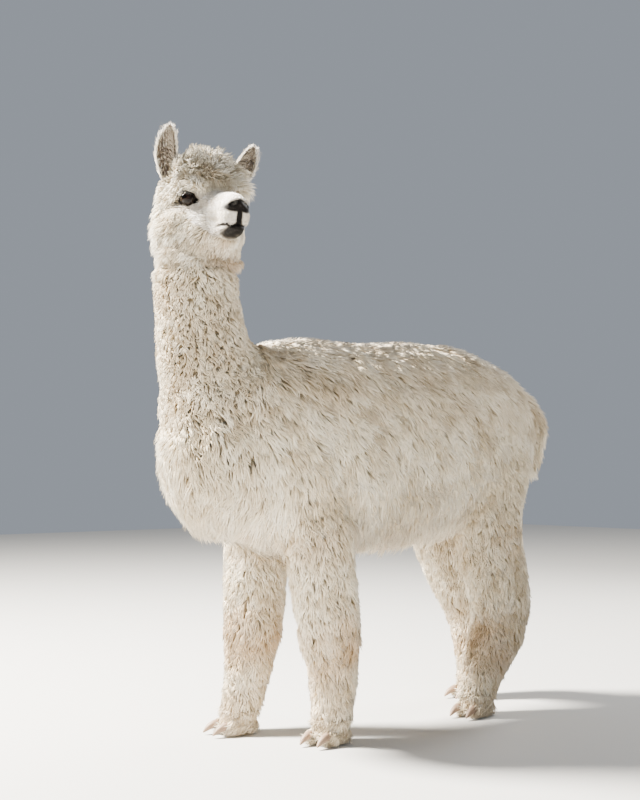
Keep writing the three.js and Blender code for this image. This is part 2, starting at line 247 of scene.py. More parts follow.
print("half way up a smooth step:", step(0.5, 0, 1), "and near its top:", step(0.9, 0, 1))


# %% [markdown]
# ## Distance to the wool's outline
#
# The solids say where the tips of the wool lie. A signed distance grid of them turns "lie inside by
# the coat's depth" into plain sums: the skin is where the distance to the outline plus the depth is
# nil. The grid is made by OpenVDB, which comes with Blender, and then handled as a numpy array.

# %% Distance grids
class Grid:
    """Distances on a lattice of cubes, in millimetres: less than 0 inside."""

    def __init__(self, low, high, cell):
        self.cell = cell
        self.first = np.floor(np.asarray(low) / cell).astype(int)
        self.shape = tuple(np.ceil(np.asarray(high) / cell).astype(int) - self.first + 1)
        self.values = None

    def points(self):
        axes = [(self.first[k] + np.arange(self.shape[k])) * self.cell for k in range(3)]
        return np.stack(np.meshgrid(*axes, indexing="ij"), axis=-1)

    def distances(self, points, triangles, inside, outside):
        """Distances to a closed surface, as far as these bands inside and outside it."""
        spacing = vdb.createLinearTransform(self.cell)
        volume = vdb.FloatGrid.createLevelSetFromPolygons(
            points.astype(np.float32), triangles=triangles.astype(np.uint32), transform=spacing,
            exBandWidth=outside / self.cell, inBandWidth=inside / self.cell)
        values = np.full(self.shape, outside, np.float32)
        volume.copyToArray(values, ijk=tuple(int(k) for k in self.first))
        return values

    def surface(self, values, level=0.0):
        """The points and faces of four where the values equal the level."""
        volume = vdb.FloatGrid(float(values.max()))
        volume.transform = vdb.createLinearTransform(self.cell)
        volume.copyFromArray(np.ascontiguousarray(values, np.float32), ijk=tuple(int(k) for k in self.first))
        return volume.convertToQuads(level)

    def sample(self, points, values=None):
        """Values at any points, blended from the eight corners of the cube around each."""
        values = self.values if values is None else values
        place = np.asarray(points) / self.cell - self.first
        place = np.clip(place, 0, np.array(self.shape) - 1.001)
        low = place.astype(int)
        part = place - low
        total = 0
        for corner in range(8):
            offset = np.array([corner >> 2 & 1, corner >> 1 & 1, corner & 1])
            weight = np.prod(np.where(offset, part, 1 - part), axis=-1)
            x, y, z = (low + offset).T
            total = total + weight * values[x, y, z]
        return total


def blurred(values, cells):
    """Values averaged with their neighbours, which rounds facets and creases."""
    reach = int(math.ceil(cells * 2.5))
    kernel = np.exp(-0.5 * (np.arange(-reach, reach + 1) / cells) ** 2)
    kernel /= kernel.sum()
    for axis in range(3):
        padded = np.pad(values, [(reach, reach) if k == axis else (0, 0) for k in range(3)], mode="edge")
        length = values.shape[axis]
        values = sum(weight * np.take(padded, np.arange(i, i + length), axis=axis)
                     for i, weight in enumerate(kernel))
    return values


# %% Distances of the solids
CELL = 8.0
BORDER = 49  # room round the box, for the blur and the bands
CLOSING = 1.5  # wider than the partings between neighbouring solids
INSIDE, OUTSIDE = 98.0, 42.0  # how far in and out of a surface its distances are kept
LEG_NODES = [n for n in nodes if n.startswith(("foreleg", "hindleg"))]
FOOT_NODES = [n for n in nodes if n.startswith(("forefoot", "hindfoot")) and "nail" not in n]
NAIL_NODES = [n for n in nodes if "nail" in n]
low, high = (np.array(corner) / MM for corner in cad_box)
body = Grid(low - BORDER, high + BORDER, CELL)


def node_surface(name):
    return points_of(nodes[name]), triangles_of(nodes[name])


def nearest_of(names, grid, inside=INSIDE, outside=OUTSIDE):
    """Distances to the nearest of some solids."""
    return np.minimum.reduce([grid.distances(*node_surface(n), inside, outside) for n in names])


parts = {
    "trunk": nearest_of(["trunk"], body),
    "neck": nearest_of(["neck"], body),
    "tail": nearest_of(["tail"], body),
    "leg": nearest_of(LEG_NODES, body),
    "foot": nearest_of(FOOT_NODES, body),
}
shoulder = soft_least(parts["trunk"], parts["neck"], 80)  # wool fills the angle under the neck
haunch = soft_least(parts["leg"], parts["trunk"], 24)
joined = np.minimum.reduce([shoulder, parts["tail"], parts["foot"], haunch])
outline_points, outline_quads = body.surface(joined, CLOSING)
outline_triangles = np.concatenate([outline_quads[:, [0, 1, 2]], outline_quads[:, [0, 2, 3]]])
outline = body.distances(outline_points, outline_triangles, INSIDE, OUTSIDE) + CLOSING
outline = blurred(outline, 1.1)
ribs = body.sample(np.array([[0.0, 0.0, 700.0]]), outline)[0]
print("grid", body.shape, "depth of the ribs' middle", round(ribs), "mm", seconds(), "s")

# %% [markdown]
# ## The head's own shape
#
# The wool hides most of the skull, but the face carries only a few millimetres of hair, so its shape
# has to be right. It could be sculpted by hand, but a sum of rounded masses can be written down and
# mended number by number. A sculptor builds a head from pellets of clay in the same way. The masses
# stand in a frame of their own, with the muzzle to -Y and the eyes on either side just ahead of the
# origin. One set gives the tips of the wool and the other gives the skin under it.

# %% Head frame
HEAD_TURN, HEAD_RAISE = math.radians(86), math.radians(4)
EYE_SIDE, EYE_BACK = 61.0, -12.0  # the middle of an eyeball on X and Y
HEAD_REACH = 190.0  # farther from the origin than this, the head's shape doesn't count
head_turn = np.array(Matrix.Rotation(HEAD_TURN, 3, "Z") @ Matrix.Rotation(-HEAD_RAISE, 3, "X"))
eye_boxes = [np.array(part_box(name)) / MM for name in ("eye_left", "eye_right")]
between_eyes = np.mean([box.mean(axis=0) for box in eye_boxes], axis=0)
head_origin = between_eyes - head_turn @ [0, EYE_BACK, 0]
print("head origin", head_origin.round(1))


def to_head(points):
    return (points - head_origin) @ head_turn


def from_head(points):
    return points @ head_turn.T + head_origin


def within(q, reach):
    """Whether points in the head's frame lie in a cube round its origin."""
    return (np.abs(q) < reach).all(axis=-1)


# %% Masses of the head
# middle and half sizes; a mass off the middle line comes in a pair
WOOL_MASSES = [
    ((0, 46, 20), (100, 74, 80)),  # wool over the braincase
    ((0, 16, 88), (94, 62, 42)),  # crown
    ((0, 68, -16), (98, 70, 100)),  # nape
    ((65, 46, -50), (52, 66, 66)),  # cheeks
    ((0, 40, -104), (102, 90, 46)),  # throat
    ((40, -8, -64), (34, 46, 46)),  # wool over the jaws
    ((44, -6, 33), (30, 34, 21)),  # brows
    ((0, -24, -28), (48, 62, 48)),  # root of the muzzle
    ((0, -74, -28), (33, 50, 34)),  # bridge of the nose
    ((16, -102, -50), (20, 24, 25)),  # upper lips
    ((0, -110, -28), (24, 16, 15)),  # tip of the nose
    ((0, -90, -82), (25, 27, 18)),  # chin
    ((0, -34, -80), (44, 56, 36)),  # lower jaw
]
FLESH_MASSES = [
    ((0, 38, 16), (62, 64, 60)),  # braincase
    ((0, 0, 22), (50, 38, 32)),  # forehead
    ((44, -2, 3), (22, 28, 25)),  # orbits
    ((42, -4, 24), (24, 28, 14)),  # brows
    ((0, -24, -28), (42, 58, 43)),  # root of the muzzle
    ((38, 22, -46), (30, 46, 42)),  # cheeks
    ((28, -6, -66), (22, 42, 32)),  # angles of the jaw
    ((0, -28, -76), (38, 56, 31)),  # lower jaw
    ((0, -74, -28), (29, 48, 31)),  # bridge of the nose
    ((14.5, -99, -50), (18, 22.5, 23)),  # upper lips
    ((0, -106, -28), (22, 15, 13.5)),  # tip of the nose
    ((0, -90, -82), (23, 25.5, 16)),  # chin
]
TEMPLE_WOOL = np.array([[62.0, 6, 46]]), np.array([[44.0, 46, 30]])  # fuller under the ear that leans out
BLEND = 7.0  # how softly one mass runs into the next
LEAST_HAIR = 2.5  # the skin stays this far inside the wool's tips


def both_sides(masses):
    """Middles and half sizes of the masses, with the mirrored ones added."""
    mirrored = [((-x, y, z), half) for (x, y, z), half in masses if x]
    table = np.array(list(masses) + mirrored, float)
    return table[:, 0], table[:, 1]


wool_masses, flesh_masses = both_sides(WOOL_MASSES), both_sides(FLESH_MASSES)


def distance_to_masses(q, middles, halves):
    """About how far points are from each ellipsoid."""
    away = q[:, None, :] - middles
    scaled = np.linalg.norm(away / halves, axis=-1)
    steep = np.linalg.norm(away / halves**2, axis=-1)
    return scaled * (scaled - 1) / np.maximum(steep, 1e-6)


def blend_of(q, masses):
    """Distance to the masses run together."""
    d = distance_to_masses(q, *masses)
    return -BLEND * np.log(np.exp(np.clip(-d / BLEND, -60, 60)).sum(axis=1))


def short_haired(q):
    """1 on the bare-looking face, 0 where wool grows."""
    heights, edges = [-110, -84, -60, -35, -8, 8, 19, 27], [-84, -62, -34, -16, 16, 14, -30, -110]
    edge = np.interp(q[:, 2], heights, edges)
    return step(q[:, 1], edge + 9, edge - 9)


def head_outline(q):
    """Distance to the tips of the coat on the head."""
    return soft_least(blend_of(q, wool_masses), distance_to_masses(q, *TEMPLE_WOOL)[:, 0], 12)


def head_skin(q):
    """Distance to the skin of the head, which stays inside the outline by the shortest hair."""
    return soft_most(blend_of(q, flesh_masses), head_outline(q) + LEAST_HAIR, 3)


print("masses:", len(wool_masses[0]), "of wool,", len(flesh_masses[0]), "of flesh")


# %% [markdown]
# ## Folds of the face
#
# Camelids have a split upper lip, slit nostrils that slant, and large eyes under a brow, set to the
# sides. They could be carved with booleans, but those leave sharp rims, and soft flesh has none. Here
# each is a ridge or a groove: a small sum added to the distance of the surface. The eye lies in an
# almond-shaped opening between lids that hug the ball, as deep as in life.

# %% Folds, lips, nostrils and lids
SIDES = {1: "left", -1: "right"}
EYE_RADIUS = 17.2
LID_RADIUS = 20.8
OPENING = (18.5, 12.4)  # half the length and the height of the gap between the lids
DROOP = 0.8  # the gap's middle lies this far below the middle of the ball
EYE_TILT = math.radians(9)  # the inner corner of the eye lies lower
NOSTRIL_TILT = math.radians(30)
eye_axes = {}
for side in SIDES:
    outward = unit(np.array([0.90 * side, -0.43, 0.03]))
    along = unit(np.cross(outward, [0, 0, 1]) * side)  # towards the ear or the nose
    upward = np.cross(outward, along) * side
    upward *= np.sign(upward[2])
    along *= np.sign(-along[1])
    along, upward = (along * math.cos(EYE_TILT) - upward * math.sin(EYE_TILT),
                     upward * math.cos(EYE_TILT) + along * math.sin(EYE_TILT))
    eye_axes[side] = np.stack([along, upward, outward])


def eye_frame(q, side):
    """Place of points from the middle of an eyeball: towards the nose, up, and out of the head."""
    return (q - [EYE_SIDE * side, EYE_BACK, 0]) @ eye_axes[side].T


def lens(along, up, half_length, half_height):
    """A pointed oval: less than 1 inside it."""
    return np.abs(up + DROOP + 0.004 * along**2) / half_height + (along / half_length) ** 2


def mouth_height(x, y):
    """The line of the closed mouth: it rises at the split and again towards its corners."""
    return -76.5 + 0.09 * (y + 110) + 3.4 * bump(x, 0, 6) + 2.0 * step(x, 12, 30)


def with_folds(q, distance):
    """The skin of the face, with its folds and openings."""
    x, y, z = np.abs(q[:, 0]), q[:, 1], q[:, 2]
    front = step(y, -58, -76)
    mouth = mouth_height(x, y)
    groove = 3.2 * bump(z, mouth, 1.7) * front
    lips = -(1.5 * bump(z, mouth + 6, 4) + 0.8 * bump(z, mouth - 5, 3)) * front
    split = 3.6 * bump(x, 0, 2.2) * step(y, -98, -108) * step(z, -36, -42) * step(z, -78, -72)
    distance = distance + groove + lips + split
    across, rise = x - 13, z + 30
    slit = np.stack([across * math.cos(NOSTRIL_TILT) - rise * math.sin(NOSTRIL_TILT), y + 124,
                     rise * math.cos(NOSTRIL_TILT) + across * math.sin(NOSTRIL_TILT)], axis=1)
    nostril = distance_to_masses(slit, np.zeros((1, 3)), np.array([[10.5, 15, 4.2]]))[:, 0]
    distance = distance - 1.6 * bump(nostril, 3.2, 2.4) * step(y, -100, -112)
    distance = soft_most(distance, -nostril, 1.2)
    for side in SIDES:
        along, up, out = eye_frame(q, side).T
        ball = np.sqrt(along**2 + up**2 + out**2)
        fold = 1.6 * bump(up, 13, 3) - 1.5 * bump(up, 9, 4) + 0.9 * bump(up, -15, 2.5)
        lids = np.where(out > -6, ball - LID_RADIUS + fold, 99)
        distance = soft_least(distance, lids, 6)
        gap = (lens(along, up, *OPENING) - 1) * 11
        distance = np.where(ball < 40, soft_most(distance, -np.maximum(gap, 1.5 - out), 1.0), distance)
    return distance


print("the left eye looks along", eye_axes[1][2].round(2), "of the head's frame")


# %% [markdown]
# ## Skin
#
# An animal's skin is one closed surface, from the lips to the toes. Separate tubes would show their
# joints, so it is drawn on one coarse lattice for the whole body, which joins the parts with no seam.
# The head and the feet are then divided more finely, and each of their vertices is moved on to the
# exact surface by a few steps down the slope of the distance.

# %% Depth of the coat
def leg_depth(z):
    """Depth of the coat on a leg or foot at a height: it is deepest at the top."""
    return np.interp(z, [0, 8, 30, 62, 110, 170, 300, 450, 560], [0.3, 3, 3.5, 5.5, 7.5, 10, 13, 16, 19])


def body_depth(p, weights):
    """Depth of the coat on the body, blended between its parts."""
    y, z = p[..., 1], p[..., 2]
    trunk = 19 + 7 * step(y, -380, -520) + 5 * step(z, 650, 500)
    depths = {"trunk": trunk, "neck": 16, "tail": 18, "leg": leg_depth(z), "foot": leg_depth(z)}
    return sum(weights[part] * depths[part] for part in depths)


def shares(distances, softness=14):
    """How much a point belongs to each part."""
    lowest = np.minimum.reduce(list(distances.values()))
    raw = {part: np.exp((lowest - d) / softness) for part, d in distances.items()}
    total = sum(raw.values())
    return {part: value / total for part, value in raw.items()}


# %% Coarse skin
NECK_RADIUS = 64  # of the flesh at the top of the neck, whose wool is deeper than the neck's own
BODY_TO_HEAD = 18.0  # how softly the neck runs into the head
lattice = body.points()
core_foot, core_top = np.array([2, -515, 1010.0]), from_head(np.array([[0, 40, -6.0]]))[0]
rise = core_top - core_foot
along = np.clip(((lattice - core_foot) @ rise) / (rise**2).sum(), 0, 1)
core = np.linalg.norm(lattice - core_foot - along[..., None] * rise, axis=-1) - NECK_RADIUS
rest_distance = outline + body_depth(lattice, shares(parts))
rest_distance = blurred(soft_least(rest_distance, core, 14), 0.6).astype(np.float32)
near_head = within(lattice - head_origin, HEAD_REACH)
skin_distance = rest_distance.copy()
skin_distance[near_head] = soft_least(
    rest_distance[near_head], head_skin(to_head(lattice[near_head])), BODY_TO_HEAD)
body.values = skin_distance
skin_points, skin_quads = body.surface(skin_distance)
skin = mesh_from("skin", skin_points, [skin_quads[:, ::-1]])
print("coarse skin:", len(skin_points), "points", len(skin_quads), "quads")


# %% Finer head
def divide(item, chosen):
    """Halves every edge between chosen vertices."""
    def change(work):
        edges = [e for e in work.edges if chosen[e.verts[0].index] and chosen[e.verts[1].index]]
        bmesh.ops.subdivide_edges(work, edges=edges, cuts=1, use_grid_fill=True)
        bmesh.ops.triangulate(work, faces=[f for f in work.faces if len(f.verts) > 4])

    edit(item, change)


def relax(item, chosen, rounds):
    """Evens out the spacing of chosen vertices, each moved to the middle of its neighbours."""
    edges = np.empty(len(item.data.edges) * 2, np.int32)
    item.data.edges.foreach_get("vertices", edges)
    a, b = edges.reshape(-1, 2).T
    points = points_of(item)
    count = np.bincount(np.concatenate([a, b]), minlength=len(points))[:, None]
    for _ in range(rounds):
        total = np.zeros_like(points)
        np.add.at(total, a, points[b])
        np.add.at(total, b, points[a])
        points[chosen] += 0.6 * (total / np.maximum(count, 1) - points)[chosen]
    move(item, points)


PROBE = 0.3  # a slope is measured over this length


def settle(points, distance, rounds=3, reach=3.0):
    """Moves points down the slope of a distance until they lie where it is nil."""
    for _ in range(rounds):
        value = distance(points)
        slope = np.stack([distance(points + aside) - value for aside in np.eye(3) * PROBE], axis=1) / PROBE
        steepness = np.maximum((slope**2).sum(axis=1), 0.15)
        points = points - np.clip(value / steepness, -reach, reach)[:, None] * slope
    return points


def fine_head(points):
    """Distance to the skin near the head, folds and all."""
    q = to_head(points)
    head = with_folds(q, head_skin(q))
    return soft_least(body.sample(points, rest_distance), head, BODY_TO_HEAD)


FINE_REACH = 175.0  # the skin is divided more finely this near to the head's origin


def head_vertices(points, nearness):
    """Vertices of the whole head (nearness 0) or of the face (nearness 1)."""
    q = to_head(points)
    inside = within(q, FINE_REACH) & (q[:, 2] > -150 + 20 * nearness)
    if nearness:
        behind = np.interp(q[:, 2], [-110, -60, 0, 50], [-30, 0, 26, 10])
        inside &= (q[:, 1] < behind) & (q[:, 2] < 52)
    return inside


divide(skin, head_vertices(points_of(skin), 0))
divide(skin, head_vertices(points_of(skin), 1))
for rounds in (3, 1):
    chosen = head_vertices(points_of(skin), 0)
    relax(skin, chosen, rounds)
    points = points_of(skin)
    points[chosen] = settle(points[chosen], fine_head)
    move(skin, points)
print("with the head:", len(skin.data.vertices), "vertices", seconds(), "s")

# %% Finer feet
FOOT_CELL = 2.5
LOWEST = 0.2  # the soles stay this far off the floor


def foot_vertices(points, box):
    return ((points > box[0] - 12) & (points < box[1] + [12, 12, 34])).all(axis=1)


def fine_foot(points, grid):
    """Distance to the skin of a foot, run into the leg's above the ankle."""
    share = step(points[:, 2], 70, 92)
    return grid.sample(points) * (1 - share) + body.sample(points) * share


for foot in FOOT_NODES:
    box = np.array(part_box(foot)) / MM
    grid = Grid(box[0] - [14, 14, 12], box[1] + [14, 14, 40], FOOT_CELL)
    pieces = nearest_of([foot, foot.replace("foot", "leg")], grid, 40, 24)
    grid.values = blurred(pieces, 1.0) + leg_depth(grid.points()[..., 2])
    divide(skin, foot_vertices(points_of(skin), box))
    chosen = foot_vertices(points_of(skin), box)
    relax(skin, chosen, 1)
    points = points_of(skin)
    points[chosen] = settle(points[chosen], lambda places: fine_foot(places, grid))
    points[:, 2] = np.maximum(points[:, 2], LOWEST)
    move(skin, points)
print("with the feet:", len(skin.data.vertices), "vertices", seconds(), "s")

# %% [markdown]
# ## Ears
#
# An alpaca's ear is a cupped leaf that narrows to a point and curls in at the tip. It is too thin a
# sheet for the lattice. It is drawn as a closed surface through crescent rings, sunk into the head at
# its root, and then joined to the skin with a boolean union so that no seam is left.

# %% Shape of an ear
EAR_LENGTH, EAR_WIDTH, EAR_CUP, EAR_WALL = 129.0, 23.5, 17.0, 3.4
EAR_ROWS, EAR_COLUMNS = 34, 40  # rings up the ear, and points round each
EAR_ROOT = (78, 44, 42)  # out from the middle, behind the eyes and above them
EAR_RINGS = np.array([  # height and width as shares, and how far the ring is set off inwards
    (-0.40, 0.42, 36), (-0.20, 0.48, 20), (0, 0.58, 7), (0.2, 0.84, 2), (0.44, 0.98, -2),
    (0.66, 0.93, -1), (0.82, 0.72, 2), (0.93, 0.44, 5), (0.985, 0.18, 7)])
EARS = {1: (32, -4), -1: (5, 30)}  # degrees that each ear leans out, and that its hollow is turned
EAR_FORWARD = 9  # degrees


def curve_through(rows, share):
    """Points on a smooth curve through rows of numbers, as share runs from 0 to 1."""
    padded = np.vstack([2 * rows[0] - rows[1], rows, 2 * rows[-1] - rows[-2]])
    place = np.clip(share, 0, 1) * (len(rows) - 1)
    start = np.minimum(place.astype(int), len(rows) - 2)
    t = (place - start)[:, None]
    a, b, c, d = (padded[start + k] for k in range(4))
    return 0.5 * (2 * b + (c - a) * t + (2 * a - 5 * b + 4 * c - d) * t**2 + (3 * b - a - 3 * c + d) * t**3)


def tube_faces(rings, sides):
    """Faces of four between rings of points, closed round each ring."""
    ring, side = np.meshgrid(np.arange(rings - 1), np.arange(sides), indexing="ij")
    after = (side + 1) % sides
    here, above = ring * sides, (ring + 1) * sides
    corners = [here + side, here + after, above + after, above + side]
    return np.stack(corners, axis=-1).reshape(-1, 4)


def cap_faces(sides, ring_start, pole, outward):
    """Triangles from a ring of points to the one that closes it."""
    side = np.arange(sides)
    pairs = [ring_start + side, ring_start + (side + 1) % sides]
    pairs = pairs if outward else pairs[::-1]
    return np.stack([*pairs, np.full(sides, pole)], axis=1)


def ear_place(local, side):
    """Points of an ear, with its root at the origin and its tip up, set on the head."""
    lean, facing = EARS[side]
    turn = Matrix.Rotation(math.radians(side * lean), 3, "Y") @ Matrix.Rotation(
        math.radians(EAR_FORWARD), 3, "X") @ Matrix.Rotation(math.radians(side * facing), 3, "Z")
    return from_head(local @ np.array(turn).T + np.array(EAR_ROOT) * [side, 1, 1])


def ear_mesh(side):
    """Points, quads and end caps of an ear: round each ring go its hollow and then its back."""
    rings, sides = EAR_ROWS, EAR_COLUMNS
    table = curve_through(EAR_RINGS, np.linspace(0, 1, rings))
    angle = np.linspace(0, 2 * math.pi, sides, endpoint=False)
    height, share, inset = (column[:, None] for column in table.T)
    cup = EAR_CUP * share
    wall = EAR_WALL * (0.4 + 0.6 * share)
    rounding = wall * 0.5 * np.sin(angle)
    x = -side * inset + EAR_WIDTH * share * np.cos(angle)
    bowl = (cup - wall / 2) * np.sqrt(np.clip(1 - np.cos(angle) ** 2, 0, 1)) ** 1.2
    y = bowl - rounding
    points = np.stack([x, y, height * EAR_LENGTH + 0 * x], axis=-1).reshape(-1, 3)
    ends = points.reshape(rings, sides, 3)[[0, -1]].mean(axis=1)
    points = np.vstack([points, ends])
    faces = tube_faces(rings, sides)
    last = (rings - 1) * sides
    caps = np.vstack([cap_faces(sides, 0, len(points) - 2, False),
                      cap_faces(sides, last, len(points) - 1, True)])
    return ear_place(points, side), faces, caps


print("an ear has", len(ear_mesh(1)[0]), "points")

# %% Ears joined to the skin
outward_faces(skin)
for side in SIDES:
    ear_points, ear_quads, ear_caps = ear_mesh(side)
    ear = mesh_from("ear", ear_points, [ear_quads, ear_caps])
    outward_faces(ear)
    union = skin.modifiers.new("ear", "BOOLEAN")
    union.operation, union.solver, union.object = "UNION", "MANIFOLD", ear
    baked(skin)
    bpy.data.objects.remove(ear)
shade_smooth(skin)
print("with the ears:", len(triangles_of(skin)), "triangles", seconds(), "s")

# %% [markdown]
# ## Eyes and nails
#
# An eye is a wet ball with a bulging cornea. A ready-made sphere has no bulge, so its points are set
# ring by ring, a little farther out round the way it looks. A toenail is a curved horn sheath over the
# tip of a toe, and a softened copy of each packed nail keeps its place.

# %% Eyes
BALL_ROWS, BALL_COLUMNS = 40, 64
CORNEA = 1.1  # how far it bulges out of the ball


def ball_directions():
    """Ways out of a ball, ring by ring, and then its two poles."""
    polar = np.linspace(0, math.pi, BALL_ROWS + 2)[1:-1][:, None]
    angle = np.linspace(0, 2 * math.pi, BALL_COLUMNS, endpoint=False)
    directions = np.stack([np.sin(polar) * np.cos(angle), np.sin(polar) * np.sin(angle),
                           np.cos(polar) + 0 * angle], axis=-1).reshape(-1, 3)
    return np.vstack([directions, [[0, 0, 1], [0, 0, -1]]])


def eye_place(local, side):
    """Points in an eye's own frame, set in the head."""
    return from_head(local @ eye_axes[side] + [EYE_SIDE * side, EYE_BACK, 0])


eyes = []
directions = ball_directions()
facing = np.arccos(np.clip(directions[:, 2], -1, 1))
ball = directions * (EYE_RADIUS + CORNEA * bump(facing, 0, 0.62))[:, None]
count = BALL_ROWS * BALL_COLUMNS
caps = np.vstack([cap_faces(BALL_COLUMNS, 0, count, True),
                  cap_faces(BALL_COLUMNS, count - BALL_COLUMNS, count + 1, False)])
for side, name in SIDES.items():
    eye = mesh_from(f"eyeball_{name}", eye_place(ball, side), [tube_faces(BALL_ROWS, BALL_COLUMNS), caps])
    outward_faces(eye)
    store(eye, "gaze", ball, "FLOAT_VECTOR")
    eyes.append(eye)
print("eyes:", len(eyes), "of", len(triangles_of(eyes[0])), "triangles")

# %% Toenails
nails = []
for name in NAIL_NODES:
    nail = nodes[name].copy()
    nail.data = nodes[name].data.copy()
    nail.parent = None
    nail.name = name.replace("_nail", "") + "_claw"
    bpy.context.scene.collection.objects.link(nail)
    edit(nail, lambda work: bmesh.ops.remove_doubles(work, verts=work.verts, dist=1e-5))
    rounding = nail.modifiers.new("rounding", "SUBSURF")
    rounding.levels = rounding.render_levels = 2
    baked(nail)
    shade_smooth(nail)
    nails.append(nail)
print("nails:", len(nails), "of", len(triangles_of(nails[0])), "triangles")

# %% [markdown]
# ## Bare dark skin, and painted shade at the split lip
#
# The skin of the nostrils, the lips and the rims of the eyelids is bare and nearly black. Down the
# split of the upper lip the dark band is painted wider than the bare skin, as painted shade on the
# front of the muzzle. A painted picture could show it, but sums of smooth steps give every vertex a
# number, and the same numbers then colour the skin and keep tufts off it.

# %% Pigment, and painted shade at the split lip
def lid_ring(q, side):
    """How far out a point is from the eye: 1 on the edge of the dark skin of its lids."""
    along, up, out = eye_frame(q, side).T
    return np.where(out > -18, lens(along + 3.5, up, OPENING[0] + 11, OPENING[1] + 3.4), 9)


def pigment_at(q):
    """1 on bare dark skin and on the painted shade beside the split lip, 0 where hair grows, for points in
    the head's frame.
    """
    x, y, z = np.abs(q[:, 0]), q[:, 1], q[:, 2]
    low = z + 32 + 0.22 * x
    nose = step(np.hypot(x / 33, low / np.where(low > 0, 11, 16)), 1.15, 0.9) * step(y, -78, -92)
    # partly dark skin and partly painted shade: the band down the split lip is painted wider than its bare
    # skin
    split = step(x, 12 - 0.1 * (z + 76), 7 - 0.06 * (z + 76)) * step(y, -98, -108)
    split = split * step(z, -30, -38) * step(z, -82, -76)
    lip_line = step(np.abs(z - mouth_height(x, y) - 0.6), 5.2, 2.2) * step(y, -60, -84)
    lower_lip = step(np.hypot(x / 28, (z + 87) / 14), 1.25, 0.75) * step(y, -66, -84)
    lids = np.maximum.reduce([step(lid_ring(q, side), 1.12, 0.94) for side in SIDES])
    broad = np.maximum.reduce([nose, lower_lip, lids])
    broad = np.clip(broad + 0.3 * noise_at(q, 4, 3) * bump(broad, 0.5, 0.3), 0, 1)
    return np.maximum.reduce([broad, split, lip_line])


print("pigment on the tip of the nose:", pigment_at(np.array([[0, -120.0, -32]])).round(2)[0])


# %% [markdown]
# ## Where each kind of coat grows
#
# The coat differs over the body: short hair on the face, ears and feet, a topknot, a ruff round the
# cheeks, crimped locks on the neck, long ones on the shoulder and flank, shaggy ones down the legs.
# Painting a map of them by hand would be slow to change. Each face of the skin is given to one kind,
# from the distances that shaped the skin.

# %% Kinds of coat
# spacing of the roots; extra, how far the tips fall along the skin; width of a lock; clump, how far
# apart the points lie that locks gather to; gather, how much they do; wave, how far they sway;
# ragged, how much their lengths differ; rings, round a lock before its tip
KINDS = {
    "trunk": dict(spacing=4.7, extra=36, width=6.2, clump=15, gather=0.28, wave=4.6, ragged=0.17, rings=2),
    "neck": dict(spacing=3.8, extra=13, width=4.9, clump=8.5, gather=0.26, wave=3.4, ragged=0.12, rings=2),
    "tail": dict(spacing=5.0, extra=34, width=6.6, clump=15, gather=0.4, wave=3.2, ragged=0.16, rings=2),
    "leg": dict(spacing=4.8, extra=25, width=6.4, clump=13, gather=0.28, wave=3.6, ragged=0.22, rings=2),
    "foot": dict(spacing=3.3, extra=14, width=3.6, clump=9, gather=0.45, wave=1.0, ragged=0.3, rings=2),
    "crown": dict(spacing=2.6, extra=14, width=4.4, clump=11, gather=0.34, wave=2.8, ragged=0.14, rings=3),
    "cheek": dict(spacing=3.2, extra=14, width=4.6, clump=11, gather=0.42, wave=2.2, ragged=0.13, rings=3),
    "face": dict(spacing=2.2, extra=6, width=1.6, clump=6, gather=0.2, wave=0.2, ragged=0.3, rings=2),
    "ear": dict(spacing=2.8, extra=13, width=2.2, clump=7, gather=0.4, wave=0.6, ragged=0.4, rings=2),
}
FOOT_TOP = 66  # short hair grows below this height
WOOL_REACH = 180.0  # the head's kinds of coat grow this near to its origin


def kind_of(points):
    """The kind of coat at points of the skin."""
    q = to_head(points)
    distances = [body.sample(points, values) for values in parts.values()]
    kind = np.array(list(parts))[np.argmin(np.stack(distances), axis=0)]
    kind[(kind == "leg") & (points[:, 2] < FOOT_TOP)] = "foot"
    kind[(kind == "foot") & (points[:, 2] >= FOOT_TOP)] = "leg"
    near = within(q, WOOL_REACH)
    head = np.zeros(len(points), bool)
    head[near] = head_outline(q[near]) < np.minimum(body.sample(points[near], outline), 20) + 4
    kind[head] = np.where(q[head][:, 2] + 0.35 * q[head][:, 1] > 18, "crown", "cheek")
    kind[head & (short_haired(q) > 0.5)] = "face"
    off_skull = near & (q[:, 2] > 30)
    off_skull[off_skull] &= head_skin(q[off_skull]) > 2.0
    kind[off_skull] = "ear"
    return kind


# %% Kinds on the skin
skin_at = points_of(skin)
skin_faces = triangles_of(skin)
skin_normals = np.empty(len(skin.data.vertices) * 3, np.float32)
skin.data.vertex_normals.foreach_get("vector", skin_normals)
skin_normals = skin_normals.reshape(-1, 3).astype(float)
face_kinds = kind_of(skin_at[skin_faces].mean(axis=1))
face_areas = np.linalg.norm(np.cross(
    skin_at[skin_faces[:, 1]] - skin_at[skin_faces[:, 0]],
    skin_at[skin_faces[:, 2]] - skin_at[skin_faces[:, 0]]), axis=1) / 2
for kind in KINDS:
    print(kind, round(face_areas[face_kinds == kind].sum() / 1e6, 3), "square metres")
print(seconds(), "s")

# %% [markdown]
# ## The lie of the coat
#
# Hair leans away from the nose, down the neck and the legs, and on the trunk falls from a parting
# along the spine. It could be combed by hand in Blender. A guide written as a rule is given at each
# root instead, and laid into the skin there.

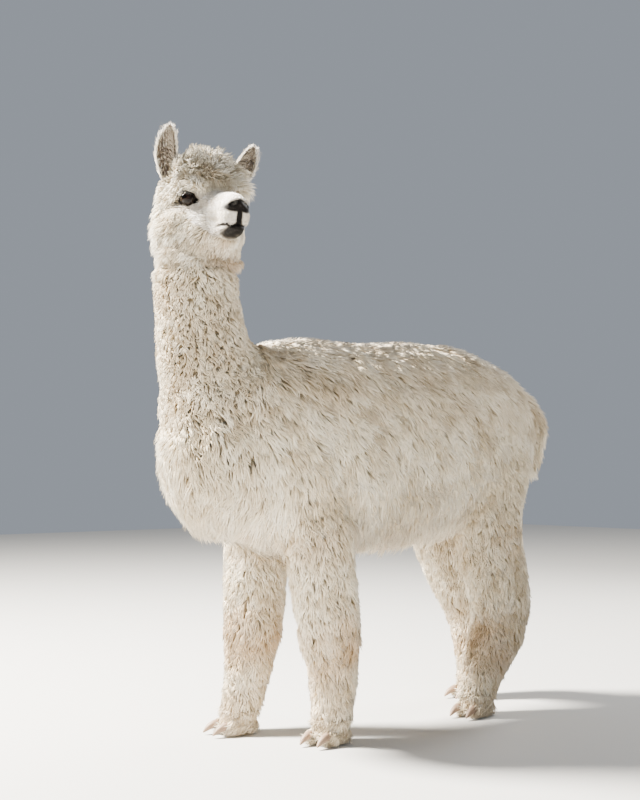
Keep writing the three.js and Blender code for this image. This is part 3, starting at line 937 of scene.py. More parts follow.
# %% Lie of the coat
def guide(points, kinds):
    """The way that the tips lean, before it is laid into the skin."""
    x, y, z = points.T
    q = to_head(points)
    part = np.tanh(x / 45)
    lean = np.zeros_like(points)

    def put(kind, values, turn=np.eye(3)):
        chosen = kinds == kind
        lean[chosen] = np.stack([np.broadcast_to(v, x.shape)[chosen] for v in values], axis=1) @ turn.T

    high = step(z, 520, 760)  # low on the flank the locks hang straight down
    backward = 0.25 + 0.3 * high - 0.3 * step(y, 330, 480) - 0.5 * step(y, -300, -450)
    put("trunk", (0.75 * part * high, backward, -0.95))
    put("neck", (0.1 * part, 0.15, -1.0))
    put("tail", (0.15 * part, 0.25, -1.0))
    put("leg", (0.12 * np.sign(x), 0.12, -1.0))
    put("foot", (0.0, -0.2 - 1.1 * step(z, 46, 26), -1.0 + 0.35 * step(z, 46, 26)))
    hx, hy, hz = q.T
    sided = np.tanh(hx / 25)
    ahead = step(hy, 104, 44)  # the topknot falls forwards, and only behind the ears down the nape
    temple = step(np.abs(hx), 34, 58) * step(hz, 58, 26)  # there it turns down to the cheeks' wool
    put("crown", (0.5 * sided, (0.5 - 1.4 * ahead) * (1 - temple) + 0.4 * temple,
                  0.15 - 0.75 * step(hy, 20, -24) - 1.1 * step(hy, 64, 100) - 0.8 * temple), head_turn)
    put("cheek", (0.2 * sided, 0.55, -0.8), head_turn)
    put("face", (0.25 * sided * step(hy, -110, -60), 0.9, 0.25 * step(hz, -60, 0) - 0.1), head_turn)
    return lean


print("on the left flank the wool leans", guide(np.array([[200.0, 0, 600]]), np.array(["trunk"]))[0].round(2))


# %% Lie on the ears
def tree_of(points):
    """A search tree, which finds the nearest of many points at once."""
    tree = KDTree(len(points))
    for index, point in enumerate(points):
        tree.insert(point, index)
    tree.balance()
    return tree


def nearest_in(tree, points):
    return np.array([tree.find(point)[1] for point in points])


ear_tree = tree_of(np.vstack([ear_mesh(side)[0][:-2] for side in SIDES]))
ear_ways = []
for side in SIDES:
    ear_tip, ear_root = ear_place(np.array([[-side * 10, 8, EAR_LENGTH], [0, 8, 0.0]]), side)
    ear_ways.append(unit(ear_tip - ear_root))
print("the ears point along", np.round(ear_ways, 2).tolist())


def ear_lean(points):
    """The way along the ear to its tip, and from -1 on its back to 1 in its hollow."""
    found = nearest_in(ear_tree, points)
    hollow = np.sin(found % EAR_COLUMNS / EAR_COLUMNS * 2 * math.pi)
    return np.array(ear_ways)[found // (EAR_ROWS * EAR_COLUMNS)], hollow


# %% [markdown]
# ## Even roots
#
# On an animal the roots stand close and even. Points thrown at random leave bald spots and crowds, so
# many more than are needed are thrown on the skin, and then one is kept from each small cube of space.

# %% Roots
def scatter(rng, chosen, spacing, surplus=4.0):
    """Even points on chosen faces of the skin, with their normals."""
    faces, areas = skin_faces[chosen], face_areas[chosen]
    count = int(areas.sum() / spacing**2 * surplus)
    picked = rng.choice(len(faces), count, p=areas / areas.sum())
    a, b = rng.random((2, count))
    over = a + b > 1
    a[over], b[over] = 1 - a[over], 1 - b[over]
    weights = np.stack([1 - a - b, a, b], axis=1)[..., None]
    points = (skin_at[faces[picked]] * weights).sum(axis=1)
    normals = unit((skin_normals[faces[picked]] * weights).sum(axis=1))
    cube = np.floor(points / (spacing * 1.02)).astype(np.int64)
    _, first = np.unique(cube @ np.array([1, 4096, 4096**2]), return_index=True)
    return points[first], normals[first]


def depth_at(points, normals):
    """How far the outline lies from points of the skin, straight out of it."""
    depth = np.zeros(len(points))
    for attempt in range(5):
        tips = points + normals * depth[:, None]
        q = to_head(tips)
        head = np.full(len(tips), 99.0)
        near = within(q, HEAD_REACH)
        head[near] = head_outline(q[near])
        depth += np.maximum(-np.minimum(head, body.sample(tips, outline)), 0) * 0.9
        if attempt == 0:
            farthest = depth * 2.1 + 10  # a long way out through the wool beside it is not the depth
    return np.clip(np.minimum(depth, farthest), 2.0, 95.0)


trial, out_of_skin = scatter(np.random.default_rng(1), face_kinds == "trunk", 40)
print("depth of the coat on the trunk:", round(depth_at(trial, out_of_skin).mean(), 1), "mm on average")


# %% [markdown]
# ## Locks
#
# Blender's hair curves are drawn quickly but aren't solid, and this coat has to be a shape of its own.
# So a lock is a closed, tapering spike with three sides. It rises from its root to the outline, bends
# over along the lie of the coat and waves a little. Locks gather in clumps that share a wave and draw
# their tips together, as crimped wool does, and clumps lie together in broad swathes. Each lock
# carries numbers for its material: how far a point is from root to tip, a tone of its own, and the
# stain where it grows.

# %% Markings
def stain_at(points):
    """0 on clean wool, 1 where it is tan: from dust and damp on the knees, hocks and hems, and tan under the
    jaw and down the neck.
    """
    q = to_head(points)
    x, y, z = points.T
    knees = bump(z, 235, 75) * step(y, 40, 0) * 0.9
    hocks = bump(z, 190, 80) * step(y, 0, 40) * 0.5
    hems = bump(z, 470, 60) * 0.35 + step(z, 420, 60) * 0.3
    # tan under the jaw and in a band down the neck
    jaw = within(q, HEAD_REACH) * bump(q[:, 2], -118, 34) * step(q[:, 1], 70, 10) * 0.8
    neck = step(z, 1120, 1000) * step(z, 700, 800) * 0.25
    cloud = 0.55 + 0.45 * noise_at(points, 60, 5)
    return np.clip((knees + hocks + hems + jaw + neck) * cloud, 0, 1)


print("the skin's mean stain:", stain_at(skin_at).mean().round(3))


# %% Roots of one kind of coat
STEM = 3.4  # a root this near to an ear stands on the part of it that the wool hides


def rooted(rng, kind, chosen):
    """Roots of one kind of coat on the chosen faces, and the way out of the skin at each."""
    roots, normals = scatter(rng, chosen, KINDS[kind]["spacing"])
    if kind in ("crown", "cheek", "face"):  # none on dark skin
        stem = np.array([ear_tree.find(point)[2] for point in roots]) < STEM
        hairy = (rng.random(len(roots)) > pigment_at(to_head(roots)) * 1.3) & ~stem
        roots, normals = roots[hairy], normals[hairy]
    if kind in ("neck", "cheek"):  # under the jaw the skin turns inwards, but its wool stands out
        low = to_head(roots)[:, 2] < -60
        normals[low, 2] = np.clip(normals[low, 2], -0.4, 0.15)
        normals = unit(normals)
    return roots, normals


# %% Clumps and swathes
SWATHE = 3.2  # a swathe is this many clumps across


def gathered(rng, kind, chosen, roots):
    """The head of each lock's clump, and random numbers of its swathe, its clump and its own."""
    heads, _ = scatter(rng, chosen, KINDS[kind]["clump"])
    clump = nearest_in(tree_of(heads), roots)
    broad, _ = scatter(rng, chosen, KINDS[kind]["clump"] * SWATHE)
    band = nearest_in(tree_of(broad), heads)[clump]
    swathe = rng.random((len(broad), 3))[band]
    shared = rng.random((len(heads), 4))[clump]
    own = rng.random((len(roots), 4))
    return heads[clump], swathe, shared, own


# %% Lie, rise and run of a lock
SPREAD = {"neck": 0.75, "crown": 0.7, "face": 0.2, "ear": 0.35}  # how far locks stray from the lie
EAR_HAIR = 4.0  # depth of the hair on the ears


def turned(vectors, axes, angles):
    """Vectors turned about axes at right angles to them."""
    angles = angles[:, None]
    return vectors * np.cos(angles) + np.cross(axes, vectors) * np.sin(angles)


def into_skin(vectors, normals):
    """The part of each vector that lies along the skin."""
    return vectors - normals * (vectors * normals).sum(axis=1, keepdims=True)


def lie_of(kind, roots, normals):
    """The lie at each root, how far locks lean, the coat's depth, and what is in an ear's hollow."""
    hollow = np.zeros(len(roots))
    if kind == "ear":
        lean, hollow = ear_lean(roots)
        depth = np.full(len(roots), EAR_HAIR)
    else:
        lean, depth = guide(roots, np.full(len(roots), kind)), depth_at(roots, normals)
    lie = into_skin(lean, normals)
    slant = np.clip(np.linalg.norm(lie, axis=1) / 0.6, 0.1, 1)  # at a parting locks stand upright
    return unit(lie + 1e-6), slant, depth, hollow


def rise_and_run(kind, roots, depth, slant, swathe, shared, own):
    """How far each lock stands out of the skin, and how far its tip falls along it."""
    reach = 0.4 * shared[:, 1] + 0.3 * own[:, 1] + 0.9 * swathe[:, 1] - 0.5
    rise = depth * (1 - KINDS[kind]["ragged"] * reach * 2)
    if kind == "trunk":
        rise = rise * 0.9  # the waves of the long locks add the rest
    if kind in ("foot", "ear"):
        rise = depth * (0.5 + 0.5 * own[:, 1])
    if kind == "face":
        rise = depth * (0.25 + 0.5 * step(depth, 4, 12)) * (0.7 + 0.6 * own[:, 1])
    y, z = roots[:, 1], roots[:, 2]
    breast = step(y, -400, -520) * step(z, 620, 760)  # shorter where the neck's wool begins
    hang = {"trunk": 32 * step(z, 600, 470) - 18 * breast, "foot": 14 * step(z, 52, 34)}
    extra = KINDS[kind]["extra"] + hang.get(kind, 0)
    run = (extra + 0.35 * depth) * slant * (0.75 + 0.5 * own[:, 2]) * (0.8 + 0.4 * shared[:, 2])
    return rise, run


# %% Path of a lock
ROOT_SINK = 1.5  # a lock starts this far under the skin


def paths_of(kind, roots, normals, heads, lie, rise, run, share, shared, own):
    """Points along the middle of each lock, at shares of its length."""
    wave, gather = KINDS[kind]["wave"], KINDS[kind]["gather"]
    side = np.cross(normals, lie)
    inward = into_skin(heads - roots, normals)
    paths = []
    for t in share:
        up = rise * (1 - (1 - t) ** 1.8) - ROOT_SINK * (t == 0)
        ahead = run * t**1.35
        phase = 2 * math.pi * (t * 1.1 + shared[:, 3])
        sway, puff = wave * np.sin(phase) * t, 0.6 * wave * np.cos(phase) * t
        point = roots + normals * (up + puff)[:, None] + lie * ahead[:, None] + side * sway[:, None]
        paths.append(point + inward * (gather * t**1.2 * (0.25 + 0.9 * own[:, 1:2])))
    return np.stack(paths, axis=1)


# %% Solid spikes
TAPERS = {3: (0.8, 1.0, 0.72), 2: (0.9, 0.85)}  # shares of the width at the rings of a lock


def spikes(path, normals, width):
    """Vertices of a three-sided spike round each path, which lies flat along the skin."""
    tangent = unit(np.gradient(path, axis=1))
    across = unit(np.cross(normals[:, None], tangent) + 1e-6)
    outward = np.cross(tangent, across)
    vertices = []
    for ring, share in enumerate(TAPERS[path.shape[1] - 1]):
        half = (width * share / 2)[:, None]
        for turn in range(3):
            angle = math.radians(90 + 120 * turn)
            offset = (across[:, ring] * math.cos(angle) + outward[:, ring] * (0.6 * math.sin(angle))) * half
            vertices.append(path[:, ring] + offset)
    return np.stack([*vertices, path[:, -1]], axis=1)


def spike_faces(rings):
    """Triangles of one spike: the end in the skin, its three sides and its tip."""
    faces = [(0, 2, 1)]
    for a in range(3 * rings - 3):
        b = a - a % 3 + (a + 1) % 3
        faces += [(a, b, b + 3), (a, b + 3, a + 3)]
    top = rings * 3
    return np.array(faces + [(top - 3 + turn, top - 3 + (turn + 1) % 3, top) for turn in range(3)])


print("a lock has", len(spike_faces(2)), "or", len(spike_faces(3)), "triangles")


# %% Locks of one kind
PALE_HAIRS = 0.2  # the share of pale hairs among the dark ones of an ear's hollow
FLOOR_GAP = 0.3  # no lock comes nearer to the floor


def locks(rng, kind, chosen):
    """Arrays for every lock of one kind of coat on the chosen faces."""
    rings = KINDS[kind]["rings"]
    roots, normals = rooted(rng, kind, chosen)
    heads, swathe, shared, own = gathered(rng, kind, chosen, roots)
    lie, slant, depth, hollow = lie_of(kind, roots, normals)
    spread = SPREAD.get(kind, 0.5)
    lie = turned(lie, normals, (shared[:, 0] - 0.5) * 1.25 * spread + (own[:, 0] - 0.5) * 0.5
                 + (swathe[:, 0] - 0.5) * 0.6 * spread)
    rise, run = rise_and_run(kind, roots, depth, slant, swathe, shared, own)
    share = np.linspace(0, 1, rings + 1)
    share[1:-1] = share[1:-1] ** 0.85
    path = paths_of(kind, roots, normals, heads, lie, rise, run, share, shared, own)
    vertices = spikes(path, normals, KINDS[kind]["width"] * (0.7 + 0.6 * own[:, 3]))
    vertices[..., 2] = np.maximum(vertices[..., 2], FLOOR_GAP)
    # 0 at the root to 1 at the tip: the materials darken the root end with it, as painted shade deep in the
    #                                coat
    light = np.tile(np.append(np.repeat(share[:-1], 3), 1.0), (len(roots), 1))
    if kind == "ear":
        hollow = hollow * (own[:, 0] < 1 - PALE_HAIRS)
    tone = 0.5 + 0.4 * (shared[:, 1] - 0.5) + 0.5 * (own[:, 2] - 0.5) + 0.6 * (swathe[:, 2] - 0.5)
    return dict(roots=roots, vertices=vertices, faces=spike_faces(rings), light=light,
                tone=np.clip(tone, 0, 1), stain=stain_at(roots), hollow=hollow)


# %% [markdown]
# ## Pieces of the coat
#
# The coat is too much for one mesh, so it is parted where the locks of a piece end among those of the
# next. Each piece has a UV map called OFBake. Blender could unwrap it, but would give each of a
# hundred thousand locks a scrap of its own. Here a lock is a small patch at its root's place on a
# cylinder unrolled round the trunk, the neck or the leg, so that baked colours stay sharp.

# %% Unrolled places
PATCH = 0.003  # how wide a lock's patch is, as a share of the map


def unrolled(roots, along_y):
    """Places on a cylinder unrolled round the middle of a group of roots."""
    middle = (roots.min(axis=0) + roots.max(axis=0)) / 2
    away = roots - middle
    if along_y:
        turn, along = np.arctan2(away[:, 0], away[:, 2]), away[:, 1]
    else:
        turn, along = np.arctan2(away[:, 0], away[:, 1]), away[:, 2]
    places = np.stack([turn, along], axis=1)
    lowest, highest = places.min(axis=0), places.max(axis=0)
    return 0.01 + 0.98 * (places - lowest) / (highest - lowest)


def lay_out(piece, roots, along_y):
    """The OFBake map: each lock, or strand, is a small patch at its root's place."""
    each = len(piece.data.vertices) // len(roots)
    place = unrolled(roots, along_y)[:, None, :]
    order = np.arange(each)
    spread = np.stack([(order % 3 - 1) * PATCH / 2, order / each * PATCH - PATCH / 2], axis=1)
    corners = np.empty(len(piece.data.loops), np.int32)
    piece.data.loops.foreach_get("vertex_index", corners)
    layer = piece.data.uv_layers.new(name="OFBake")
    layer.uv.foreach_set("vector", (place + spread).reshape(-1, 2)[corners].astype(np.float32).ravel())


# %% Pieces
def coat_piece(name, grown, chosen, along_y):
    """A piece of the coat, made of the chosen locks."""
    vertices = grown["vertices"][chosen]
    count, each = vertices.shape[:2]
    faces = (grown["faces"][None] + (np.arange(count) * each)[:, None, None]).reshape(-1, 3)
    piece = mesh_from(name, vertices.reshape(-1, 3), [faces])
    numbers = np.stack([grown["light"][chosen], np.repeat(grown["tone"][chosen][:, None], each, 1),
                        np.repeat(grown["stain"][chosen][:, None], each, 1)], axis=-1)
    store(piece, "wool", numbers.reshape(-1, 3), "FLOAT_VECTOR")
    store(piece, "hollow", np.repeat(grown["hollow"][chosen], each))
    lay_out(piece, grown["roots"][chosen], along_y)
    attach(piece, "root")
    print(name, count, "locks", len(faces), "triangles")
    coat[name] = piece


coat = {}
QUARTERS = ("front_left", "rear_left", "front_right", "rear_right")
PARTINGS = {"trunk": -60, "leg": 40}  # where front and rear quarters meet on Y
SLOTS = {"foot": "short_hair", "face": "short_hair", "ear": "ear_hair"}  # all the rest is fleece
for seed, kind in enumerate(KINDS):
    grown = locks(np.random.default_rng(100 + seed), kind, face_kinds == kind)
    x, y, _ = grown["roots"].T
    slot, along_y = SLOTS.get(kind, "fleece"), kind in ("trunk", "tail")
    if kind in PARTINGS:
        where = np.where(y < PARTINGS[kind], 0, 1) + np.where(x > 0, 0, 2)
        for index, words in enumerate(QUARTERS):
            coat_piece(f"fleece_{kind}_{words}", grown, where == index, along_y)
    else:
        coat_piece(f"fleece_{kind}", grown, np.ones(len(x), bool), along_y)
total = sum(len(piece.data.polygons) for piece in coat.values())
print("coat:", total, "triangles", seconds(), "s")

# %% [markdown]
# ## Materials
#
# Colours are given as sRGB codes and turned to the linear values that the shader wants. Nodes can be
# laid out by hand, but one helper that adds a node with its settings and links keeps a material short
# enough to read.

# %% Colours and nodes
def linear(code):
    """An sRGB code as linear red, green, blue and alpha."""
    channels = [int(code[i:i + 2], 16) / 255 for i in (1, 3, 5)]
    return tuple(c / 12.92 if c <= 0.04045 else ((c + 0.055) / 1.055) ** 2.4 for c in channels) + (1.0,)


def add(tree, kind, inputs=None, stops=(), **settings):
    """Adds a node with its settings and links.

    An input is a constant, an sRGB code, an output, or a node, which stands for its first output in
    use. Stops are the places and codes of a colour ramp.
    """
    item = tree.nodes.new(kind)
    for name, value in settings.items():
        setattr(item, name, value)
    for name, value in (inputs or {}).items():
        if isinstance(value, bpy.types.Node):
            value = next(output for output in value.outputs if output.enabled)
        if isinstance(value, bpy.types.NodeSocket):
            tree.links.new(value, item.inputs[name])
        else:
            item.inputs[name].default_value = linear(value) if str(value)[0] == "#" else value
    for index, (place, code) in enumerate(stops):
        elements = item.color_ramp.elements
        element = elements[index] if index < len(elements) else elements.new(place)
        element.position, element.color = place, linear(code)
    return item


def material(name, **shader):
    """A new material, with constants set on its shader's own sockets."""
    made = bpy.data.materials.new(name)
    made.use_nodes = True
    principled = made.node_tree.nodes["Principled BSDF"]
    for socket, value in shader.items():
        socket = principled.inputs[socket.replace("_", " ")]
        socket.default_value = linear(value) if isinstance(value, str) else value
    return made, made.node_tree, principled


def link_to(tree, node, socket):
    """Links the first output in use of a node to a socket."""
    tree.links.new(next(output for output in node.outputs if output.enabled), socket)


# %% [markdown]
# ### Huacaya fleece, wool of the head, short hair and ear hair
#
# Wool is a fibre of keratin with almost no gloss: a matte shader with a little sheen. A picture of
# wool would blur up close, so the colours come from numbers on the locks. A lock is yellower at its
# root and darker there, which is painted shade deep in the coat, and palest at its tip. Each has its
# own tone, dust lies in soft clouds a hand across, and damp hems and knees are stained tan. The wool
# of the head is a lighter copy of the fleece, painted light so that the crown looks lit, and the
# ears' hollows are darker brown.

# %% Wool materials
MIX = {"data_type": "RGBA"}  # a mix of two colours: its inputs are 0 the share, 6 and 7 the colours
DUST, TAN = "#d3bf98", "#b58749"
DUST_SCALE = 9.0  # clouds of dust to the metre


def wool(name, root, middle, tip, stain, sheen=0.25, hollow=None):
    """A finish for locks, darker brown in an ear's hollow where it has one."""
    made, tree, shader = material(name, Roughness=0.82, IOR=1.55, Sheen_Weight=sheen, Sheen_Roughness=0.6,
                                  Specular_IOR_Level=0.22)
    numbers = add(tree, "ShaderNodeAttribute", attribute_name="wool")
    along, tone, stained = add(tree, "ShaderNodeSeparateXYZ", {0: numbers.outputs["Vector"]}).outputs
    # painted shade: darker at the root, where the locks shade each other, and palest at the tip
    colour = add(tree, "ShaderNodeValToRGB", {0: along}, [(0.0, root), (0.4, middle), (0.9, tip)])
    place = add(tree, "ShaderNodeTexCoord").outputs["Object"]
    clouds = add(tree, "ShaderNodeTexNoise", {
        "Vector": place, "Scale": DUST_SCALE, "Detail": 3.0, "Roughness": 0.6})
    dusty = add(tree, "ShaderNodeMath", {0: clouds, 1: 0.22}, operation="MULTIPLY")
    colour = add(tree, "ShaderNodeMix", {0: dusty, 6: colour, 7: DUST}, **MIX)
    stained = add(tree, "ShaderNodeMath", {0: stained, 1: 0.85}, operation="MULTIPLY")
    colour = add(tree, "ShaderNodeMix", {0: stained, 6: colour, 7: stain}, **MIX)
    tones = [(0.1, "#cbc1b0"), (0.5, "#ede8de"), (0.9, "#ffffff")]
    shade = add(tree, "ShaderNodeValToRGB", {0: tone}, tones)
    colour = add(tree, "ShaderNodeMix", {0: 1.0, 6: colour, 7: shade}, blend_type="MULTIPLY", **MIX)
    if hollow:
        inside = add(tree, "ShaderNodeAttribute", attribute_name="hollow").outputs["Fac"]
        deep = add(tree, "ShaderNodeValToRGB", {0: inside}, [(0.15, "#000000"), (0.5, "#ffffff")])
        # darker brown towards the inside of an ear's hollow
        colour = add(tree, "ShaderNodeMix", {0: deep, 6: colour, 7: hollow}, **MIX)
    link_to(tree, colour, shader.inputs["Base Color"])
    print(name, "has", len(tree.nodes), "nodes")
    return made


fleece = wool("huacaya fleece", "#dfcda6", "#f3e6ca", "#fff8e8", TAN)
# painted light: the head's wool is a lighter copy of the fleece, so that the crown looks lit
head_wool_painted_lit = wool("clean wool of the head", "#e4d7bc", "#f7efdc", "#fffcf3", TAN)
short_hair = wool("short white hair", "#ece6dc", "#f8f5f0", "#ffffff", "#c7a67a", 0.2)
ear_hair = wool("ear hair", "#d8ccb8", "#f1ebe0", "#fdfaf4", "#c0a078", 0.2, hollow="#756554")
FINISHES = {"fleece_face": short_hair, "fleece_ear": ear_hair,
            "fleece_crown": head_wool_painted_lit, "fleece_cheek": head_wool_painted_lit}
for name, piece in coat.items():
    piece.data.materials.append(FINISHES.get(name, fleece))

# %% [markdown]
# ### Skin under the coat
#
# Where wool stands the skin only shows between locks, in shade, so it has the wool's own deep tone.
# On the face, ears and feet it carries hair too short to stand off it. That is a grain of two or
# three millimetres along the skin, coarser than real hair, which would be too fine to show. Bare skin
# is dark. One material blends them all by numbers on the skin, so that no edge is hard.

# %% Skin material
HAIR_SCALE, PATCH_SCALE = 420.0, 26.0  # grains of hair, and patches of tone, to the metre
hide, tree, shader = material("short-haired skin", Roughness=0.6, IOR=1.45, Specular_IOR_Level=0.18)
reads = {name: add(tree, "ShaderNodeAttribute", attribute_name=name).outputs["Fac"]
         for name in ("woolly", "pigment", "hollow", "stain")}
place = add(tree, "ShaderNodeTexCoord").outputs["Object"]
grain = add(tree, "ShaderNodeTexNoise", {
    "Vector": place, "Scale": HAIR_SCALE, "Detail": 4.0, "Roughness": 0.7})
patches = add(tree, "ShaderNodeTexNoise", {"Vector": place, "Scale": PATCH_SCALE, "Detail": 3.0})
hair = add(tree, "ShaderNodeValToRGB", {0: grain}, [(0.25, "#d3c9ba"), (0.55, "#eee7dc"), (0.8, "#faf6ef")])
faint = add(tree, "ShaderNodeMath", {0: patches, 1: 0.4}, operation="MULTIPLY")
hair = add(tree, "ShaderNodeMix", {0: faint, 6: hair, 7: "#dccdb4"}, **MIX)
colour = add(tree, "ShaderNodeMix", {0: reads["woolly"], 6: hair, 7: "#eadab4"}, **MIX)
stained = add(tree, "ShaderNodeMath", {0: reads["stain"], 1: 0.5}, operation="MULTIPLY")
colour = add(tree, "ShaderNodeMix", {0: stained, 6: colour, 7: "#a98558"}, **MIX)
# darker brown in the ears' hollows
colour = add(tree, "ShaderNodeMix", {0: reads["hollow"], 6: colour, 7: "#5d4d40"}, **MIX)
dark = add(tree, "ShaderNodeValToRGB", {0: patches}, [(0.3, "#060403"), (0.8, "#150f0b")])
# bare dark skin, and painted shade beside the split lip
colour = add(tree, "ShaderNodeMix", {0: reads["pigment"], 6: colour, 7: dark}, **MIX)
link_to(tree, colour, shader.inputs["Base Color"])
relief = add(tree, "ShaderNodeBump", {"Height": grain, "Strength": 0.35, "Distance": 0.0012})
link_to(tree, relief, shader.inputs["Normal"])
skin.data.materials.clear()
skin.data.materials.append(hide)
skin.data.polygons.foreach_set("material_index", np.zeros(len(skin.data.polygons), np.int32))
print(hide.name, "has", len(tree.nodes), "nodes")

# %% Numbers on the skin
skin_q = to_head(skin_at)
skin_kinds = kind_of(skin_at)
on_head = within(skin_q, HEAD_REACH)
woolly = np.isin(skin_kinds, ("trunk", "neck", "tail", "leg", "crown", "cheek")).astype(float)
pigment, inner = np.zeros(len(skin_at)), np.zeros(len(skin_at))
pigment[on_head] = pigment_at(skin_q[on_head])
woolly *= step(np.minimum(lid_ring(skin_q, 1), lid_ring(skin_q, -1)), 1.2, 2.0)
on_ear = skin_kinds == "ear"
inner[on_ear] = step(ear_lean(skin_at[on_ear])[1], 0.15, 0.5)
store(skin, "woolly", woolly)
store(skin, "pigment", pigment)
store(skin, "hollow", inner)
store(skin, "stain", stain_at(skin_at))
print("bare dark skin at", int((pigment > 0.5).sum()), "vertices of", len(skin_at))

# %% [markdown]
# ### Eye and horn
#
# A camelid's eye looks almost black: a dark brown iris round a pupil that lies level, under a clear
# cornea with a hard highlight. The cornea could be a shell of its own, but over so dark an iris a
# smooth coat on one ball looks the same. A toenail is horn with growth lines across it.

# %% Eye and nail materials
PUPIL = (7.5, 4.2)  # half sizes of the pupil, in millimetres
eye_black, tree, shader = material("wet eye", Roughness=0.12, IOR=1.376, Specular_IOR_Level=0.15,
                                   Coat_Weight=0.12, Coat_Roughness=0.03)
gaze = add(tree, "ShaderNodeAttribute", attribute_name="gaze").outputs["Vector"]
pupil = add(tree, "ShaderNodeVectorMath", {0: gaze, 1: (1 / PUPIL[0], 1 / PUPIL[1], 0)}, operation="MULTIPLY")
middle = add(tree, "ShaderNodeVectorMath", {0: pupil}, operation="LENGTH")
share = add(tree, "ShaderNodeMath", {0: middle, 1: 2.0}, operation="DIVIDE")
iris = add(tree, "ShaderNodeValToRGB", {0: share}, [(0.45, "#030202"), (0.55, "#22150d"), (1.0, "#120c08")])
link_to(tree, iris, shader.inputs["Base Color"])
for eye in eyes:
    eye.data.materials.append(eye_black)

horn, tree, shader = material("pale horn", Roughness=0.5, IOR=1.54)
place = add(tree, "ShaderNodeTexCoord").outputs["Object"]
lines = add(tree, "ShaderNodeTexWave", {"Vector": place, "Scale": 130.0, "Distortion": 3.0, "Detail": 2.0},
            bands_direction="Y")
colour = add(tree, "ShaderNodeValToRGB", {0: lines}, [(0.1, "#7d6653"), (0.9, "#a58a72")])
link_to(tree, colour, shader.inputs["Base Color"])
ridges = add(tree, "ShaderNodeBump", {"Height": lines, "Strength": 0.3, "Distance": 0.0006})
link_to(tree, ridges, shader.inputs["Normal"])
for nail in nails:
    nail.data.materials.clear()
    nail.data.materials.append(horn)

floor_finish = material("pale floor", Roughness=0.9, Base_Color="#c4c2be")[0]
print(eye_black.name, "and", horn.name, "on", len(eyes), "eyes and", len(nails), "nails")

# %% [markdown]
# ## Lashes, ear fringes and stray hairs
#
# Long single hairs stand clear of the coat, and without them its edge looks cut. Geometry Nodes suits
# them, since one bent strand repeats along a rim: each point holds the way its strand grows and the
# way it droops, and the tree places, scales and joins the strands.

# %% Strand tree
STRAND_INPUTS = {"Roots": "Geometry", "Length": "Float", "Thickness": "Float", "Bend": "Float",
                 "Seed": "Int", "Finish": "Material"}
strands = bpy.data.node_groups.new("strands", "GeometryNodeTree")
for name, kind in STRAND_INPUTS.items():
    strands.interface.new_socket(name, in_out="INPUT", socket_type="NodeSocket" + kind)
strands.interface.new_socket("Strands", in_out="OUTPUT", socket_type="NodeSocketGeometry")
given = add(strands, "NodeGroupInput").outputs
strand = add(strands, "GeometryNodeMeshCone", {
    "Vertices": 3, "Side Segments": 5, "Radius Bottom": given["Thickness"], "Depth": given["Length"]})
height = add(strands, "ShaderNodeSeparateXYZ", {0: add(strands, "GeometryNodeInputPosition")}).outputs["Z"]
share = add(strands, "ShaderNodeMath", {0: height, 1: given["Length"]}, operation="DIVIDE")
curve = add(strands, "ShaderNodeMath", {0: share, 1: 2.0}, operation="POWER")
curve = add(strands, "ShaderNodeMath", {0: curve, 1: given["Bend"]}, operation="MULTIPLY")
curve = add(strands, "ShaderNodeMath", {0: curve, 1: given["Length"]}, operation="MULTIPLY")
offset = add(strands, "ShaderNodeCombineXYZ", {"X": curve})
strand = add(strands, "GeometryNodeSetPosition", {"Geometry": strand, "Offset": offset})
aim = add(strands, "GeometryNodeInputNamedAttribute", {"Name": "aim"}, data_type="FLOAT_VECTOR")
droop = add(strands, "GeometryNodeInputNamedAttribute", {"Name": "droop"}, data_type="FLOAT_VECTOR")
turn = add(strands, "FunctionNodeAlignRotationToVector", {"Vector": aim}, axis="Z")
turn = add(strands, "FunctionNodeAlignRotationToVector", {"Rotation": turn, "Vector": droop},
           axis="X", pivot_axis="Z")
size = add(strands, "FunctionNodeRandomValue", {2: 0.55, 3: 1.1, "Seed": given["Seed"]}, data_type="FLOAT")
placed = add(strands, "GeometryNodeInstanceOnPoints", {
    "Points": given["Roots"], "Instance": strand, "Rotation": turn, "Scale": size})
solid = add(strands, "GeometryNodeRealizeInstances", {"Geometry": placed})
coated = add(strands, "GeometryNodeSetMaterial", {"Geometry": solid, "Material": given["Finish"]})
add(strands, "NodeGroupOutput", {0: coated})
print("the strand tree has", len(strands.nodes), "nodes")


# %% Growing strands
def grow(name, roots, aims, droops, length, thickness, bend, finish):
    """A piece of single strands, grown from points in millimetres by the tree."""
    mesh = bpy.data.meshes.new(name)
    mesh.vertices.add(len(roots))
    mesh.vertices.foreach_set("co", (roots * MM).ravel())
    piece = bpy.data.objects.new(name, mesh)
    bpy.context.scene.collection.objects.link(piece)
    store(piece, "aim", aims, "FLOAT_VECTOR")
    store(piece, "droop", droops, "FLOAT_VECTOR")
    values = {"Length": length * MM, "Thickness": thickness * MM, "Bend": bend,
              "Seed": len(roots), "Finish": finish}
    growth = piece.modifiers.new("strands", "NODES")
    growth.node_group = strands
    for socket in strands.interface.items_tree:
        if socket.name in values:
            growth[socket.identifier] = values[socket.name]
    baked(piece)
    lay_out(piece, roots, False)
    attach(piece, "root")
    print(name, len(roots), "strands", len(triangles_of(piece)), "triangles")


# %% Lashes
LASHES = 90  # to an eye
lash = material("eyelash", Roughness=0.5, Base_Color="#0c0908")[0]
draw = np.random.default_rng(7)


def out_of_eye(ways, side):
    """Directions in an eye's own frame, in the world's."""
    return ways @ eye_axes[side] @ head_turn.T


